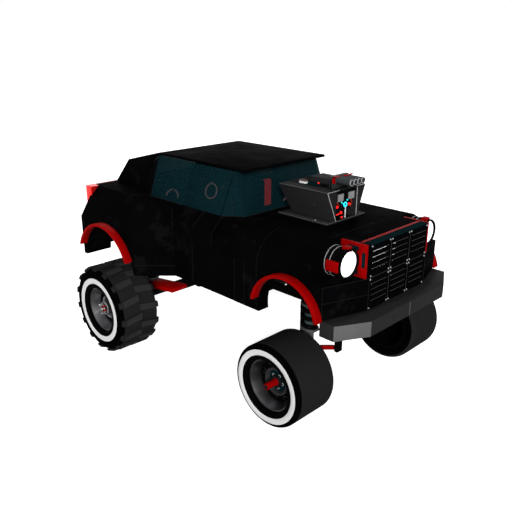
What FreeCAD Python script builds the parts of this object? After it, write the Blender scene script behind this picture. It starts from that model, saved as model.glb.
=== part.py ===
import FreeCAD, Part
import math
import os

# Monster truck. +X points forward, +Y to the vehicle's left, +Z up, lengths in millimetres.
# While it is built, X is counted from the front axle. save() then moves every piece so that
# the origin lies on the ground under the middle of the whole vehicle.

V = FreeCAD.Vector
ORIGIN = V(0, 0, 0)
ALONG_Y = V(0, 1, 0)
ALONG_Z = V(0, 0, 1)

# General
overrun = 20.0
bearing_gap = 0.05
full_turn = 360.0
sharp_corners = 2
wedge_corners = 3
seat_gap = 0.3
panel = 30.0
door_wall = 50.0
seam = 10.0

# Axles and wheels
wheelbase = 3480.0
front_radius = 600.0
front_width = 760.0
front_inner_y = 1004.0
rear_radius = 752.0
rear_width = 728.0
rear_inner_y = 1498.0
tyre_shoulder = 70.0
front_tyre_facets = 48
lug_count = 15
lug_height = 55.0
lug_root_share = 0.5
lug_top_share = 0.35
lug_setback = 20.0
rim_radius = 400.0
rim_lip_radius = 436.0
rim_lip_width = 26.0
rim_barrel = 18.0
rim_setback = 14.0
rim_step = 12.0
rim_step_width = 62.0
disc_ring_radius = 205.0
disc_ring_width = 40.0
disc_ring_height = 55.0
disc_hole_radius = 34.0
disc_hole_circle = 280.0
disc_hole_count = 8
disc_depth = 250.0
disc_thickness = 24.0
hub_radius = 95.0
hub_length = 190.0
hub_nose = 60.0
cap_radius = 45.0
cap_length = 90.0
spindle_radius = 45.0
spindle_engagement = 170.0
spindle_seal = 6.0

# Body levels, each counted from the one below it
body_floor_z = 1430.0
nose_lift = 230.0
rocker_height = 436.0
body_height = 1145.0
corner_radius = 457.0
shoulder_drop = 228.0
door_step_rise = 47.0
floor_lift = 230.0
canopy_height = 690.0
roof_thickness = 40.0

# Body stations
fender_end_x = 320.0
recess_x = 350.0
nose_corner_x = 600.0
hood_front_x = 652.0
grille_x = 820.0
door_front_x = -1035.0
cowl_depth = 155.0
door_step_length = 465.0
hip_full_lead = 586.0
hip_length = 464.0
hip_end_lag = 1020.0
tail_taper = 230.0

# Body widths, each half of the whole
body_half = 1372.0
grille_share = 0.503
hip_swell = 458.0
rocker_width = 211.0
floor_inset = 62.0
floor_thickness = 30.0

# Front and rear arches
front_arch_x = 25.0
front_arch_rise = 101.0
front_arch_radius = 560.0
rear_arch_lag = 200.0
rear_arch_drop = 60.0
rear_arch_radius = 730.0
flare_band = 50.0
flare_reach = 130.0
flare_rise = 220.0
front_house_depth = 200.0
rear_floor_half = 460.0

# Canopy
glass = 12.0
glass_top_half = 915.0
shoulder_inset = 212.0
screen_foot_inset = 432.0
screen_foot_lag = 54.0
screen_slope = 232.0
side_glass_lag = 47.0
visor = 200.0
roof_rear_lead = 140.0
side_glass_rear_lead = 40.0
knee_lead = 450.0
knee_share = 0.6594
quarter_foot_lead = 660.0
tail_reach = 50.0

# Nose
bumper_front_x = 1050.0
bumper_corner_x = 805.0
bumper_rear_x = 570.0
bumper_back_x = 800.0
bumper_taper = 462.0
bumper_back_half = 650.0
bumper_rise = 5.0
bumper_height = 218.0
grille_depth = 40.0
grille_columns = 3
grille_rows = 2
grille_slots = 4
grille_border = 26.0
slot_height = 34.0
lamp_gap = 1.0
lamp_share = 0.4376
lamp_wall = 22.0
lamp_front_x = 690.0
lens_thickness = 30.0
frame_bar = 40.0
strip_height = 30.0
lamp_ring = 8.0
lamp_ring_count = 3
lamp_block_height = 140.0
lamp_block_length = 190.0
lamp_block_reach = 22.0
tail_lamp_length = 180.0
tail_lamp_out = 160.0
tail_lamp_height = 385.0

# Engine and scoop
scoop_base_front_x = -100.0
scoop_base_rear_x = -1040.0
scoop_base_half = 445.0
scoop_base_thickness = 25.0
scoop_foot_rear_x = -940.0
scoop_foot_half = 250.0
scoop_height = 465.0
scoop_top_front_x = -115.0
scoop_top_half = 442.0
scoop_wall = 14.0
engine_front_x = -160.0
engine_rear_x = -920.0
engine_half = 230.0
engine_lift = 50.0
engine_drop = 275.0
throat_margin = 40.0
intake_rise = 115.0
intake_half = 150.0
intake_front_x = -300.0
intake_rear_x = -686.0
barrel_front_x = -140.0
barrel_inner_y = 65.0
barrel_outer_y = 195.0
barrel_height = 100.0
barrel_drop = 75.0
pulley_count = 2
pulley_radius = 70.0
pulley_width = 30.0
pulley_drop = 250.0
pulley_pitch = 150.0
vent_inner_y = 290.0
vent_outer_y = 370.0
vent_drop = 110.0
vent_height = 80.0
pipe_count = 4
pipe_radius = 42.0
pipe_wall = 7.0
pipe_spacing = 88.0
pipe_length = 300.0
pipe_front_x = 60.0
pipe_rise = 125.0
manifold_depth = 60.0
manifold_margin = 10.0

# Frame
rail_y = 420.0
rail_width = 80.0
rail_height = 110.0
rail_front_x = 700.0
rail_end_lead = 130.0
cross_width = 90.0
puck_radius = 50.0
tower_half = 90.0
tower_plate = 30.0
tower_lift = 170.0
bracket_height = 70.0
tow_bore = 16.0
tow_plate = 25.0
tow_drop = 40.0
tow_lug_half = 40.0

# Front suspension and steering
kingpin_y = 870.0
kingpin_radius = 20.0
arm_rise = 300.0
arm_thickness = 60.0
arm_eye_radius = 55.0
arm_bar = 70.0
arm_root_y = 600.0
arm_root_x = 260.0
boss_gap = 2.0
boss_height = 116.0
boss_radius = 50.0
upright_inner_y = 930.0
upright_outer_y = 985.0
upright_half = 45.0
upright_drop = 100.0
sleeve_radius = 80.0
steering_arm_length = 170.0
steering_arm_width = 50.0
steering_arm_height = 30.0
tie_pin_radius = 12.0
tie_eye_radius = 28.0
tie_rod_radius = 15.0
tie_eye_height = 30.0
subframe_inset = 40.0
subframe_web = 60.0
strut_radius = 62.0
strut_seat_radius = 128.0
strut_seat = 20.0
spring_foot = 180.0
spring_outer = 143.0
spring_wire = 62.0
spring_turns = 2.5
spring_steps = 16
spring_sides = 8
spring_end = 12.0

# Rear suspension
axle_tube_radius = 68.0
diff_radius = 190.0
diff_length = 300.0
diff_half = 90.0
rear_arm_rise = 198.0
rear_arm_thickness = 70.0
rear_arm_rim = 110.0
rear_arm_root_y = 800.0
rear_arm_length = 560.0
rear_shock_inset = 252.0
rear_perch_height = 60.0

# Cabin
seat_y = 400.0
seat_width = 460.0
seat_lead = 505.0
seat_length = 500.0
seat_height = 470.0
seat_pad = 120.0
seat_back_height = 720.0
seat_back_thickness = 110.0
pedestal_width = 320.0
dash_depth = 260.0
dash_height = 240.0
steering_wheel_radius = 140.0
steering_wheel_rim = 14.0
steering_wheel_lag = 120.0
steering_wheel_drop = 95.0
column_radius = 22.0

# Door hinges
hinge_barrel = 14.0
hinge_pin = 6.0
hinge_height = 60.0
hinge_leaf = 70.0

# Worked out from the above: levels
nose_bottom_z = body_floor_z + nose_lift
rocker_top_z = body_floor_z + rocker_height
belt_z = body_floor_z + body_height
crease_z = belt_z - corner_radius
shoulder_z = belt_z - shoulder_drop
door_step_z = crease_z + door_step_rise
floor_z = body_floor_z + floor_lift
roof_z = belt_z + canopy_height
roof_under_z = roof_z - roof_thickness
knee_z = belt_z + canopy_height * knee_share
front_arch_z = body_floor_z + front_arch_rise
rear_arch_z = body_floor_z - rear_arch_drop
flare_bottom_z = body_floor_z + flare_rise
bumper_bottom_z = body_floor_z + bumper_rise
bumper_top_z = bumper_bottom_z + bumper_height
lamp_z = (crease_z + belt_z) / 2
scoop_top_z = belt_z + scoop_height
engine_bottom_z = body_floor_z + engine_lift
engine_top_z = belt_z - engine_drop
intake_top_z = scoop_top_z + intake_rise
rail_top_z = body_floor_z - seat_gap
rail_bottom_z = rail_top_z - rail_height
tower_z = body_floor_z + tower_lift
arm_top_z = front_radius + arm_rise
boss_bottom_z = arm_top_z + boss_gap
boss_top_z = boss_bottom_z + boss_height
tie_z = boss_bottom_z + steering_arm_height
upright_bottom_z = front_radius - upright_drop
rear_arm_z = rear_radius + rear_arm_rise
seat_top_z = floor_z + seat_height
steering_wheel_z = belt_z - steering_wheel_drop

# Worked out from the above: stations
rear_axle_x = -wheelbase
cowl_front_x = door_front_x - cowl_depth
door_step_x = door_front_x - door_step_length
hip_full_x = rear_axle_x + hip_full_lead
door_rear_x = hip_full_x + hip_length
hip_end_x = rear_axle_x - hip_end_lag
tail_x = hip_end_x - tail_taper
vehicle_rear_x = tail_x - tail_reach
middle_x = (bumper_front_x + vehicle_rear_x) / 2
rear_arch_x = rear_axle_x - rear_arch_lag
screen_foot_x = cowl_front_x - screen_foot_lag
screen_top_x = screen_foot_x - screen_slope
side_glass_front_x = screen_top_x - side_glass_lag
roof_front_x = screen_top_x + visor
roof_rear_x = rear_axle_x + roof_rear_lead
side_glass_rear_x = roof_rear_x + side_glass_rear_lead
knee_x = tail_x + knee_lead
quarter_foot_x = tail_x + quarter_foot_lead
rail_rear_x = tail_x + rail_end_lead
tow_eye_x = rail_rear_x
rear_arm_root_x = rear_axle_x + rear_arm_length
seat_base_x = door_rear_x + seat_lead
steering_wheel_x = door_step_x - steering_wheel_lag
hinge_x = door_front_x

# Worked out from the above: widths
hood_half = body_half - corner_radius
hip_half = body_half + hip_swell
rocker_inner_y = body_half - rocker_width
floor_half = body_half - floor_inset
glass_foot_half = body_half - shoulder_inset
screen_foot_half = body_half - screen_foot_inset
bumper_flat_half = body_half - bumper_taper
grille_half = body_half * grille_share
lamp_radius = corner_radius * lamp_share
lens_radius = lamp_radius - lamp_wall
lamp_y = grille_half + panel + frame_bar + lamp_gap + lamp_radius
rear_shock_y = body_half - rear_shock_inset
rear_arm_outer_y = rear_shock_y + rear_arm_rim
hinge_y = body_half
cabin_core = V((door_step_x + door_rear_x) / 2, 0, (belt_z + roof_z) / 2)


def block(x_span, y_span, z_span):
    """Return a box between three pairs of limits."""
    x0, x1 = sorted(x_span)
    y0, y1 = sorted(y_span)
    z0, z1 = sorted(z_span)
    return Part.makeBox(x1 - x0, y1 - y0, z1 - z0, V(x0, y0, z0))


def polygon(points):
    """Return a flat face with straight sides through the points."""
    return Part.Face(Part.makePolygon(points + [points[0]]))


def plan(points, z0, z1):
    """Return an outline in X and Y raised from z0 to z1."""
    return polygon([V(x, y, z0) for x, y in points]).extrude(V(0, 0, z1 - z0))


def facet(points, thickness, inside):
    """Return a flat panel whose outer face has the points, thickened towards the inside."""
    face = polygon(points)
    normal = (points[1] - points[0]).cross(points[2] - points[0]).normalize()
    if normal.dot(inside - points[0]) < 0:
        normal = normal.negative()
    return face.extrude(normal.multiply(thickness))


def rod(start, end, radius):
    """Return a round bar between two points."""
    return Part.makeCylinder(radius, (end - start).Length, start, end - start)


def tube(start, end, outer, inner):
    """Return a round pipe between two points."""
    return rod(start, end, outer).cut(rod(start, end, inner))


def mirrored(shape):
    """Return the same shape on the other side of the vehicle."""
    return shape.mirror(ORIGIN, ALONG_Y)


def both(shape):
    """Return the shape and its mirror image as separate solids."""
    return [shape, mirrored(shape)]


def fused(shapes):
    """Return one solid made from shapes that touch."""
    first = shapes[0]
    return first.fuse(shapes[1:]).removeSplitter() if len(shapes) > 1 else first


def largest(shape):
    """Return the biggest solid of a shape that a cut left in several."""
    return max(shape.Solids, key=lambda solid: solid.Volume)


def save(name, shapes):
    """Write one named piece, moved so that X is counted from the middle of the vehicle."""
    solids = [solid for shape in shapes for solid in shape.Solids]
    piece = Part.makeCompound(solids)
    piece.translate(V(-middle_x, 0, 0))
    piece.exportStep(os.path.join("parts", name + ".step"))
    print(name, len(solids), round(piece.Volume / 1e6, 1), piece.isValid())


def arch(centre_x, centre_z, radius, y0, y1):
    """Return the round wheel opening as a solid along Y, used for cutting."""
    return rod(V(centre_x, y0, centre_z), V(centre_x, y1, centre_z), radius)


# Body shells

def front_section(inset):
    """Return the front body's cross-section, with its rounded upper edges, set in by inset."""
    half = body_half - inset
    top = belt_z - inset
    radius = corner_radius - inset
    bottom = body_floor_z - overrun if inset else body_floor_z
    slant = radius * math.sqrt(0.5)
    left = Part.Arc(
        V(0, half, crease_z),
        V(0, hood_half + slant, crease_z + slant),
        V(0, hood_half, top),
    )
    right = Part.Arc(
        V(0, -hood_half, top),
        V(0, -hood_half - slant, crease_z + slant),
        V(0, -half, crease_z),
    )
    edges = [
        Part.LineSegment(V(0, half, bottom), V(0, half, crease_z)),
        left,
        Part.LineSegment(V(0, hood_half, top), V(0, -hood_half, top)),
        right,
        Part.LineSegment(V(0, -half, crease_z), V(0, -half, bottom)),
        Part.LineSegment(V(0, -half, bottom), V(0, half, bottom)),
    ]
    return Part.Face(Part.Wire([edge.toShape() for edge in edges]))


def front_shell(x0, x1, thickness):
    """Return the hollow front body between two stations, open below."""
    length = V(x1 - x0, 0, 0)
    outer = front_section(0)
    inner = front_section(thickness)
    outer.translate(V(x0, 0, 0))
    inner.translate(V(x0, 0, 0))
    return outer.extrude(length).cut(inner.extrude(length))


def front_arch_cut():
    """Return the left front wheel opening."""
    return arch(front_arch_x, front_arch_z, front_arch_radius, hood_half, body_half + overrun)


def wheel_house(centre_x, centre_z, radius, y0, y1, floor):
    """Return the curved wall round a wheel opening, above the given level."""
    start = V(centre_x, y0, centre_z)
    end = V(centre_x, y1, centre_z)
    reach = radius + 2 * panel
    above = block((centre_x - reach, centre_x + reach), (y0, y1), (floor, centre_z + reach))
    return tube(start, end, radius + panel, radius).common(above)


def front_house():
    """Return the left front wheel house, deeper than the fender's skin."""
    return wheel_house(
        front_arch_x,
        front_arch_z,
        front_arch_radius,
        body_half - front_house_depth,
        body_half,
        body_floor_z,
    )


def front_fender():
    """Return the left front fender with its rounded edge, its wheel opening and the foot behind it."""
    shell = front_shell(door_step_x, fender_end_x, panel)
    keep = block((door_step_x, fender_end_x), (hood_half, body_half), (body_floor_z, belt_z))
    door_bay = block(
        (door_step_x - overrun, door_front_x - seam / 2),
        (hood_half, body_half + overrun),
        (body_floor_z - overrun, door_step_z + seam / 2),
    )
    chin = block(
        (front_arch_x, fender_end_x + overrun),
        (hood_half, body_half + overrun),
        (body_floor_z - overrun, front_arch_z),
    )
    step = block(
        (door_step_x - overrun, door_step_x + seam / 2),
        (hood_half, body_half + overrun),
        (body_floor_z - overrun, belt_z + overrun),
    )
    fender = shell.common(keep)
    fender = fender.fuse(front_house().common(keep))
    for cutter in (door_bay, chin, step, front_arch_cut()):
        fender = fender.cut(cutter)
    return fender


def nose():
    """Return the panels beside and below the lamps, with the lamp recess walls."""
    outline = [
        (fender_end_x, body_half),
        (nose_corner_x, body_half),
        (grille_x, grille_half),
        (grille_x, -grille_half),
        (nose_corner_x, -body_half),
        (fender_end_x, -body_half),
    ]
    inner = [
        (fender_end_x - overrun, body_half - panel),
        (nose_corner_x - panel, body_half - panel),
        (grille_x - grille_depth, grille_half),
        (grille_x - grille_depth, -grille_half),
        (nose_corner_x - panel, -body_half + panel),
        (fender_end_x - overrun, -body_half + panel),
    ]
    shell = plan(outline, nose_bottom_z, crease_z)
    shell = shell.cut(plan(inner, nose_bottom_z - overrun, crease_z - panel))
    mouth = block(
        (fender_end_x - overrun, grille_x + overrun),
        (-grille_half, grille_half),
        (nose_bottom_z - overrun, crease_z + overrun),
    )
    shell = shell.cut(mouth)
    for side in (1, -1):
        opening = arch(
            front_arch_x, front_arch_z, front_arch_radius, side * hood_half, side * (body_half + overrun)
        )
        shell = shell.cut(opening)
    section = front_section(0)
    section.translate(V(fender_end_x, 0, 0))
    wall = section.extrude(V(recess_x - fender_end_x, 0, 0))
    wall = wall.common(
        block((fender_end_x, recess_x), (-body_half, body_half), (crease_z - panel, belt_z))
    )
    gap = block(
        (fender_end_x, recess_x), (-grille_half, grille_half), (crease_z - panel, belt_z)
    )
    wall = wall.cut(gap)
    house = front_house().common(
        block((fender_end_x, grille_x), (hood_half, body_half), (nose_bottom_z, belt_z))
    )
    cheeks = both(house)
    for side in (1, -1):
        cheeks.append(
            block(
                (fender_end_x, grille_x - overrun),
                (side * grille_half, side * (grille_half + panel)),
                (nose_bottom_z, belt_z),
            )
        )
    top = block(
        (hood_front_x + strip_height, grille_x - grille_depth),
        (-grille_half - panel, grille_half + panel),
        (belt_z - panel, belt_z),
    )
    return fused([shell, wall, top] + cheeks).cut(hood())


def hood():
    """Return the flat hood with the hole the engine stands through."""
    top = block((cowl_front_x, hood_front_x), (-hood_half, hood_half), (belt_z - panel, belt_z))
    ahead = block(
        (recess_x, hood_front_x + overrun),
        (grille_half, hood_half + overrun),
        (belt_z - panel - overrun, belt_z + overrun),
    )
    hole = block(
        (scoop_foot_rear_x + throat_margin, scoop_base_front_x - throat_margin),
        (-scoop_foot_half + throat_margin, scoop_foot_half - throat_margin),
        (belt_z - panel - overrun, belt_z + overrun),
    )
    return top.cut(ahead).cut(mirrored(ahead)).cut(hole)


def firewall():
    """Return the wall between engine and cabin, with the cowl behind the hood."""
    wall = block(
        (cowl_front_x, cowl_front_x - panel),
        (-floor_half, floor_half),
        (floor_z + floor_thickness, crease_z),
    )
    upper = block(
        (cowl_front_x, cowl_front_x - panel),
        (-hood_half, hood_half),
        (crease_z, belt_z),
    )
    cowl = block((cowl_front_x, door_step_x), (-hood_half, hood_half), (belt_z - panel, belt_z))
    return fused([wall, upper, cowl])


def mid_section(inset):
    """Return half of the cabin's outline in Y and Z at the doors."""
    return [
        (0, body_floor_z),
        (body_half - inset, body_floor_z),
        (body_half - inset, shoulder_z),
        (glass_foot_half - inset, belt_z),
        (0, belt_z),
    ]


def across(points, x0, x1):
    """Return an outline in Y and Z drawn out from x0 to x1."""
    return polygon([V(x0, y, z) for y, z in points]).extrude(V(x1 - x0, 0, 0))


def door_skin(x0, x1):
    """Return the left side wall with its sloping shoulder between two stations."""
    outer = across(mid_section(0), x0, x1)
    return outer.cut(across(mid_section(door_wall), x0, x1))


def hinge_levels():
    """Return the heights of a door's two hinges."""
    span = door_step_z - rocker_top_z
    return [rocker_top_z + span / 4, door_step_z - span / 4]


def hinge_cylinder(z0, z1, radius):
    """Return a cylinder about the left door's hinge line."""
    return rod(V(hinge_x, hinge_y, z0), V(hinge_x, hinge_y, z1), radius)


def hinge_door_half(z):
    """Return the middle knuckle with its leaf on the door."""
    knuckle = hinge_cylinder(z - hinge_height / 6, z + hinge_height / 6, hinge_barrel)
    leaf = block(
        (hinge_x - hinge_leaf, hinge_x),
        (hinge_y - hinge_barrel, hinge_y),
        (z - hinge_height / 6, z + hinge_height / 6),
    )
    bore = hinge_cylinder(z - hinge_height, z + hinge_height, hinge_pin + bearing_gap)
    return fused([knuckle, leaf]).cut(bore)


def hinge_post_half(z):
    """Return the outer knuckles, pin and leaves on the fender."""
    pieces = [hinge_cylinder(z - hinge_height / 2, z + hinge_height / 2, hinge_pin)]
    for side in (1, -1):
        near = z + side * (hinge_height / 6 + boss_gap)
        far = z + side * hinge_height / 2
        pieces.append(hinge_cylinder(min(near, far), max(near, far), hinge_barrel))
        pieces.append(
            block((hinge_x, hinge_x + hinge_leaf), (hinge_y - hinge_barrel, hinge_y), (near, far))
        )
    return fused(pieces)


def hinge_notch(z):
    """Return the space that a hinge takes from the panels on both sides."""
    reach = hinge_height / 2 + boss_gap
    return hinge_cylinder(z - reach, z + reach, hinge_barrel + boss_gap)


def door():
    """Return the left door, stepped at its front edge, without its glass."""
    skin = door_skin(door_rear_x + seam, door_step_x - seam / 2)
    skin = skin.common(
        block((door_rear_x, door_step_x), (hood_half, body_half), (rocker_top_z + seam / 2, belt_z))
    )
    nose_part = block(
        (door_step_x - seam / 2, door_front_x - seam / 2),
        (body_half - door_wall, body_half),
        (rocker_top_z + seam / 2, door_step_z - seam / 2),
    )
    leaf = fused([skin, nose_part])
    for z in hinge_levels():
        leaf = leaf.cut(hinge_notch(z))
        leaf = leaf.fuse(hinge_door_half(z))
    return leaf.removeSplitter()


def hinged_fender():
    """Return the left fender with the fixed halves of the door's hinges."""
    fender = front_fender()
    for z in hinge_levels():
        fender = fender.cut(hinge_notch(z))
        fender = fender.fuse(hinge_post_half(z))
    return fender.removeSplitter()


def rocker():
    """Return the left sill below the door, as an angle that closes the body's edge."""
    front = door_front_x - seam / 2
    side = block((door_rear_x, front), (body_half - door_wall, body_half), (body_floor_z, rocker_top_z))
    under = block((door_rear_x, front), (rocker_inner_y, body_half), (body_floor_z, body_floor_z + panel))
    ledge = block(
        (door_rear_x, cowl_front_x),
        (floor_half - door_wall, body_half),
        (floor_z - panel, floor_z),
    )
    return fused([side, under, ledge])


def hip_outline(inset):
    """Return the body's rear plan as a face, set in by inset."""
    far = -hip_half
    corners = [
        (door_rear_x, far),
        (door_rear_x, body_half),
        (hip_full_x, hip_half),
        (hip_end_x, hip_half),
        (tail_x, body_half),
        (tail_x, far),
    ]
    face = polygon([V(x, y, 0) for x, y in corners])
    return face.makeOffset2D(-inset, join=sharp_corners) if inset else face


def hip_section(inset):
    """Return the rear body's cross-section as a face, set in by inset and open below."""
    far = -hip_half
    low = body_floor_z - hip_half if inset else body_floor_z
    corners = [
        (far, low),
        (hip_half, low),
        (hip_half, crease_z),
        (body_half, belt_z),
        (far, belt_z),
    ]
    face = polygon([V(0, y, z) for y, z in corners])
    return face.makeOffset2D(-inset, join=sharp_corners) if inset else face


def hip_wedge(inset):
    """Return what is cut from the hip's front upper corner, leaving a three-cornered face."""
    a = V(door_rear_x, body_half, crease_z)
    b = V(hip_full_x, hip_half, crease_z)
    c = V(hip_full_x, body_half, belt_z)
    middle = (a + b + c).multiply(1 / wedge_corners)
    normal = (b - a).cross(c - a).normalize()
    if normal.dot(ALONG_Z) < 0:
        normal = normal.negative()
    shift = V(normal).multiply(-inset)
    wide = [middle + (point - middle).multiply(wedge_corners) + shift for point in (a, b, c)]
    return polygon(wide).extrude(V(normal).multiply(hip_half))


def hip_bulge(inset):
    """Return the solid rear fender outside the body's side, set in by inset."""
    tall = hip_outline(inset)
    tall = tall.extrude(V(0, 0, belt_z))
    long = hip_section(inset)
    long.translate(V(tail_x - overrun, 0, 0))
    long = long.extrude(V(door_rear_x - tail_x + 2 * overrun, 0, 0))
    outside = block((door_rear_x, tail_x), (body_half - panel, hip_half), (0, belt_z))
    return tall.common(long).common(outside).cut(hip_wedge(inset))


def rear_quarter():
    """Return the left rear fender with its angled hip, wheel opening, inner wall and shoulder."""
    shell = hip_bulge(0).cut(hip_bulge(panel))
    opening = arch(
        rear_arch_x, rear_arch_z, rear_arch_radius, body_half - 2 * panel, hip_half + overrun
    )
    wall = block((door_rear_x, tail_x), (body_half - panel, body_half), (body_floor_z, belt_z))
    ledge = block((door_rear_x, tail_x), (glass_top_half, body_half), (belt_z - panel, belt_z))
    house = wheel_house(
        rear_arch_x, rear_arch_z, rear_arch_radius, body_half - panel, hip_half, body_floor_z
    )
    house = house.common(hip_bulge(0))
    return fused([shell, wall, ledge, house]).cut(opening).cut(tail_cut())


def tail_cut():
    """Return the space that the tail panel takes."""
    return block((tail_x, tail_x + panel), (-body_half, body_half), (body_floor_z, belt_z))


def tail():
    """Return the flat panel across the rear."""
    return block(
        (tail_x, tail_x + panel), (-body_half + panel, body_half - panel), (body_floor_z, belt_z)
    )


def floor_pan():
    """Return the cabin floor, narrow between the rear wheels, with the firewall at its front."""
    cabin = block(
        (hip_full_x, cowl_front_x),
        (-floor_half + door_wall, floor_half - door_wall),
        (floor_z, floor_z + floor_thickness),
    )
    load = block(
        (tail_x + panel, hip_full_x),
        (-rear_floor_half, rear_floor_half),
        (floor_z, floor_z + floor_thickness),
    )
    return fused([cabin, load, firewall()])


# Canopy

def roof():
    """Return the flat roof with its visor ahead of the windscreen."""
    return block((roof_rear_x, roof_front_x), (-glass_top_half, glass_top_half), (roof_under_z, roof_z))


def above_belt(shape, top):
    """Return the part of a canopy piece between the belt line and the given height."""
    return shape.common(block((tail_x, screen_foot_x), (-hip_half, hip_half), (belt_z, top)))


def windshield():
    """Return the front pane and its two corner panes."""
    front = facet(
        [
            V(screen_foot_x, screen_foot_half, belt_z),
            V(screen_foot_x, -screen_foot_half, belt_z),
            V(screen_top_x, -glass_top_half, roof_under_z),
            V(screen_top_x, glass_top_half, roof_under_z),
        ],
        glass,
        cabin_core,
    )
    corner = facet(
        [
            V(screen_foot_x, screen_foot_half, belt_z),
            V(side_glass_front_x, glass_foot_half, belt_z),
            V(screen_top_x, glass_top_half, roof_under_z),
        ],
        glass,
        cabin_core,
    )
    return [above_belt(fused([front, corner, mirrored(corner)]), roof_under_z)]


def side_pane(x0, x1, top_x0, top_x1):
    """Return a left side pane between two stations, given at its foot and its top."""
    pane = facet(
        [
            V(x0, glass_foot_half, belt_z),
            V(x1, glass_foot_half, belt_z),
            V(top_x1, glass_top_half, roof_under_z),
            V(top_x0, glass_top_half, roof_under_z),
        ],
        glass,
        cabin_core,
    )
    return above_belt(pane, roof_under_z)


def door_glass():
    """Return the left door's pane."""
    front = side_glass_front_x - 2 * seam
    top_front = screen_top_x - 2 * seam
    rear = door_rear_x + seam
    pane = side_pane(front, rear, top_front, rear)
    return pane.cut(block((rear, screen_top_x), (0, hip_half), (roof_under_z - seam, roof_z)))


def quarter_glass():
    """Return the left pane behind the door."""
    pane = side_pane(door_rear_x, side_glass_rear_x, door_rear_x, roof_rear_x)
    return largest(pane.cut(fastback()))


def fastback():
    """Return the closed rear of the canopy: side panels, corner fillers and upper panel."""
    pieces = []
    side = [
        V(roof_rear_x, glass_top_half, roof_z),
        V(knee_x, glass_top_half, knee_z),
        V(tail_x, glass_top_half, belt_z),
        V(quarter_foot_x, glass_top_half, belt_z),
    ]
    filler = [
        V(roof_rear_x, glass_top_half, roof_under_z),
        V(side_glass_rear_x, glass_foot_half, belt_z),
        V(quarter_foot_x, glass_top_half, belt_z),
    ]
    for shape in (facet(side, panel, cabin_core), facet(filler, panel, cabin_core)):
        pieces += both(shape)
    top = facet(
        [
            V(roof_rear_x, glass_top_half, roof_z),
            V(roof_rear_x, -glass_top_half, roof_z),
            V(knee_x, -glass_top_half, knee_z),
            V(knee_x, glass_top_half, knee_z),
        ],
        panel,
        cabin_core,
    )
    return above_belt(fused(pieces + [top]), roof_z).cut(roof())


def rear_window():
    """Return the pane on the rear slope."""
    half = glass_top_half - panel
    pane = facet(
        [
            V(knee_x, half, knee_z),
            V(knee_x, -half, knee_z),
            V(tail_x, -half, belt_z),
            V(tail_x, half, belt_z),
        ],
        glass,
        cabin_core,
    )
    return above_belt(pane, roof_under_z).cut(fastback())


# Nose pieces

def bumper():
    """Return the angled front bumper."""
    outline = [
        (bumper_front_x, bumper_flat_half),
        (bumper_corner_x, body_half),
        (bumper_rear_x, body_half),
        (bumper_back_x, bumper_back_half),
        (bumper_back_x, -bumper_back_half),
        (bumper_rear_x, -body_half),
        (bumper_corner_x, -body_half),
        (bumper_front_x, -bumper_flat_half),
    ]
    return plan(outline, bumper_bottom_z, bumper_top_z)


def grille():
    """Return the grille plate with its panels of open slots."""
    plate = block(
        (grille_x - grille_depth, grille_x), (-grille_half, grille_half), (nose_bottom_z, belt_z)
    )
    panel_width = 2 * grille_half / grille_columns
    panel_height = (belt_z - nose_bottom_z) / grille_rows
    slot_pitch = (panel_height - 2 * grille_border) / (grille_slots + 1)
    cutters = []
    for column in range(grille_columns):
        for row in range(grille_rows):
            for slot in range(grille_slots):
                y = -grille_half + column * panel_width
                z = nose_bottom_z + row * panel_height + grille_border + (slot + 1) * slot_pitch
                cutters.append(
                    block(
                        (grille_x - grille_depth - overrun, grille_x + overrun),
                        (y + 2 * grille_border, y + panel_width - 2 * grille_border),
                        (z - slot_height / 2, z + slot_height / 2),
                    )
                )
    return plate.cut(cutters)


def grille_surround():
    """Return the red strip above the grille and the red square frames beside it."""
    strip = block(
        (hood_front_x, hood_front_x + strip_height),
        (-grille_half, grille_half),
        (belt_z - panel, belt_z),
    )
    pieces = [strip]
    outer = block(
        (recess_x + frame_bar, grille_x - overrun),
        (grille_half + panel, grille_half + panel + frame_bar),
        (crease_z, belt_z),
    )
    hole = block(
        (recess_x + 3 * frame_bar, grille_x - overrun - 2 * frame_bar),
        (grille_half + panel + frame_bar / 2, grille_half + panel + frame_bar + overrun),
        (crease_z + 2 * frame_bar, belt_z - 2 * frame_bar),
    )
    pieces += both(outer.cut(hole))
    side = block(
        (lamp_front_x - frame_bar / 2 - lamp_block_length, lamp_front_x - frame_bar / 2),
        (lamp_y, lamp_y + lamp_radius + lamp_block_reach),
        (lamp_z - lamp_block_height / 2, lamp_z + lamp_block_height / 2),
    )
    can = rod(V(recess_x, lamp_y, lamp_z), V(grille_x, lamp_y, lamp_z), lamp_radius)
    pieces += both(side.cut(can))
    return pieces


def headlamp():
    """Return the left lamp's round housing."""
    back = V(recess_x, lamp_y, lamp_z)
    front = V(lamp_front_x, lamp_y, lamp_z)
    seat = V(lamp_front_x - lens_thickness, lamp_y, lamp_z)
    can = rod(back, front, lamp_radius - lamp_ring)
    pitch = (lamp_front_x - recess_x) / lamp_ring_count
    rings = []
    for index in range(lamp_ring_count):
        x = lamp_front_x - index * pitch
        rings.append(rod(V(x - pitch / 2, lamp_y, lamp_z), V(x, lamp_y, lamp_z), lamp_radius))
    return fused([can] + rings).cut(rod(seat, front, lens_radius))


def headlamp_lens():
    """Return the left lamp's lens."""
    seat = V(lamp_front_x - lens_thickness, lamp_y, lamp_z)
    front = V(lamp_front_x, lamp_y, lamp_z)
    return rod(seat, front, lens_radius - seat_gap)


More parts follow.
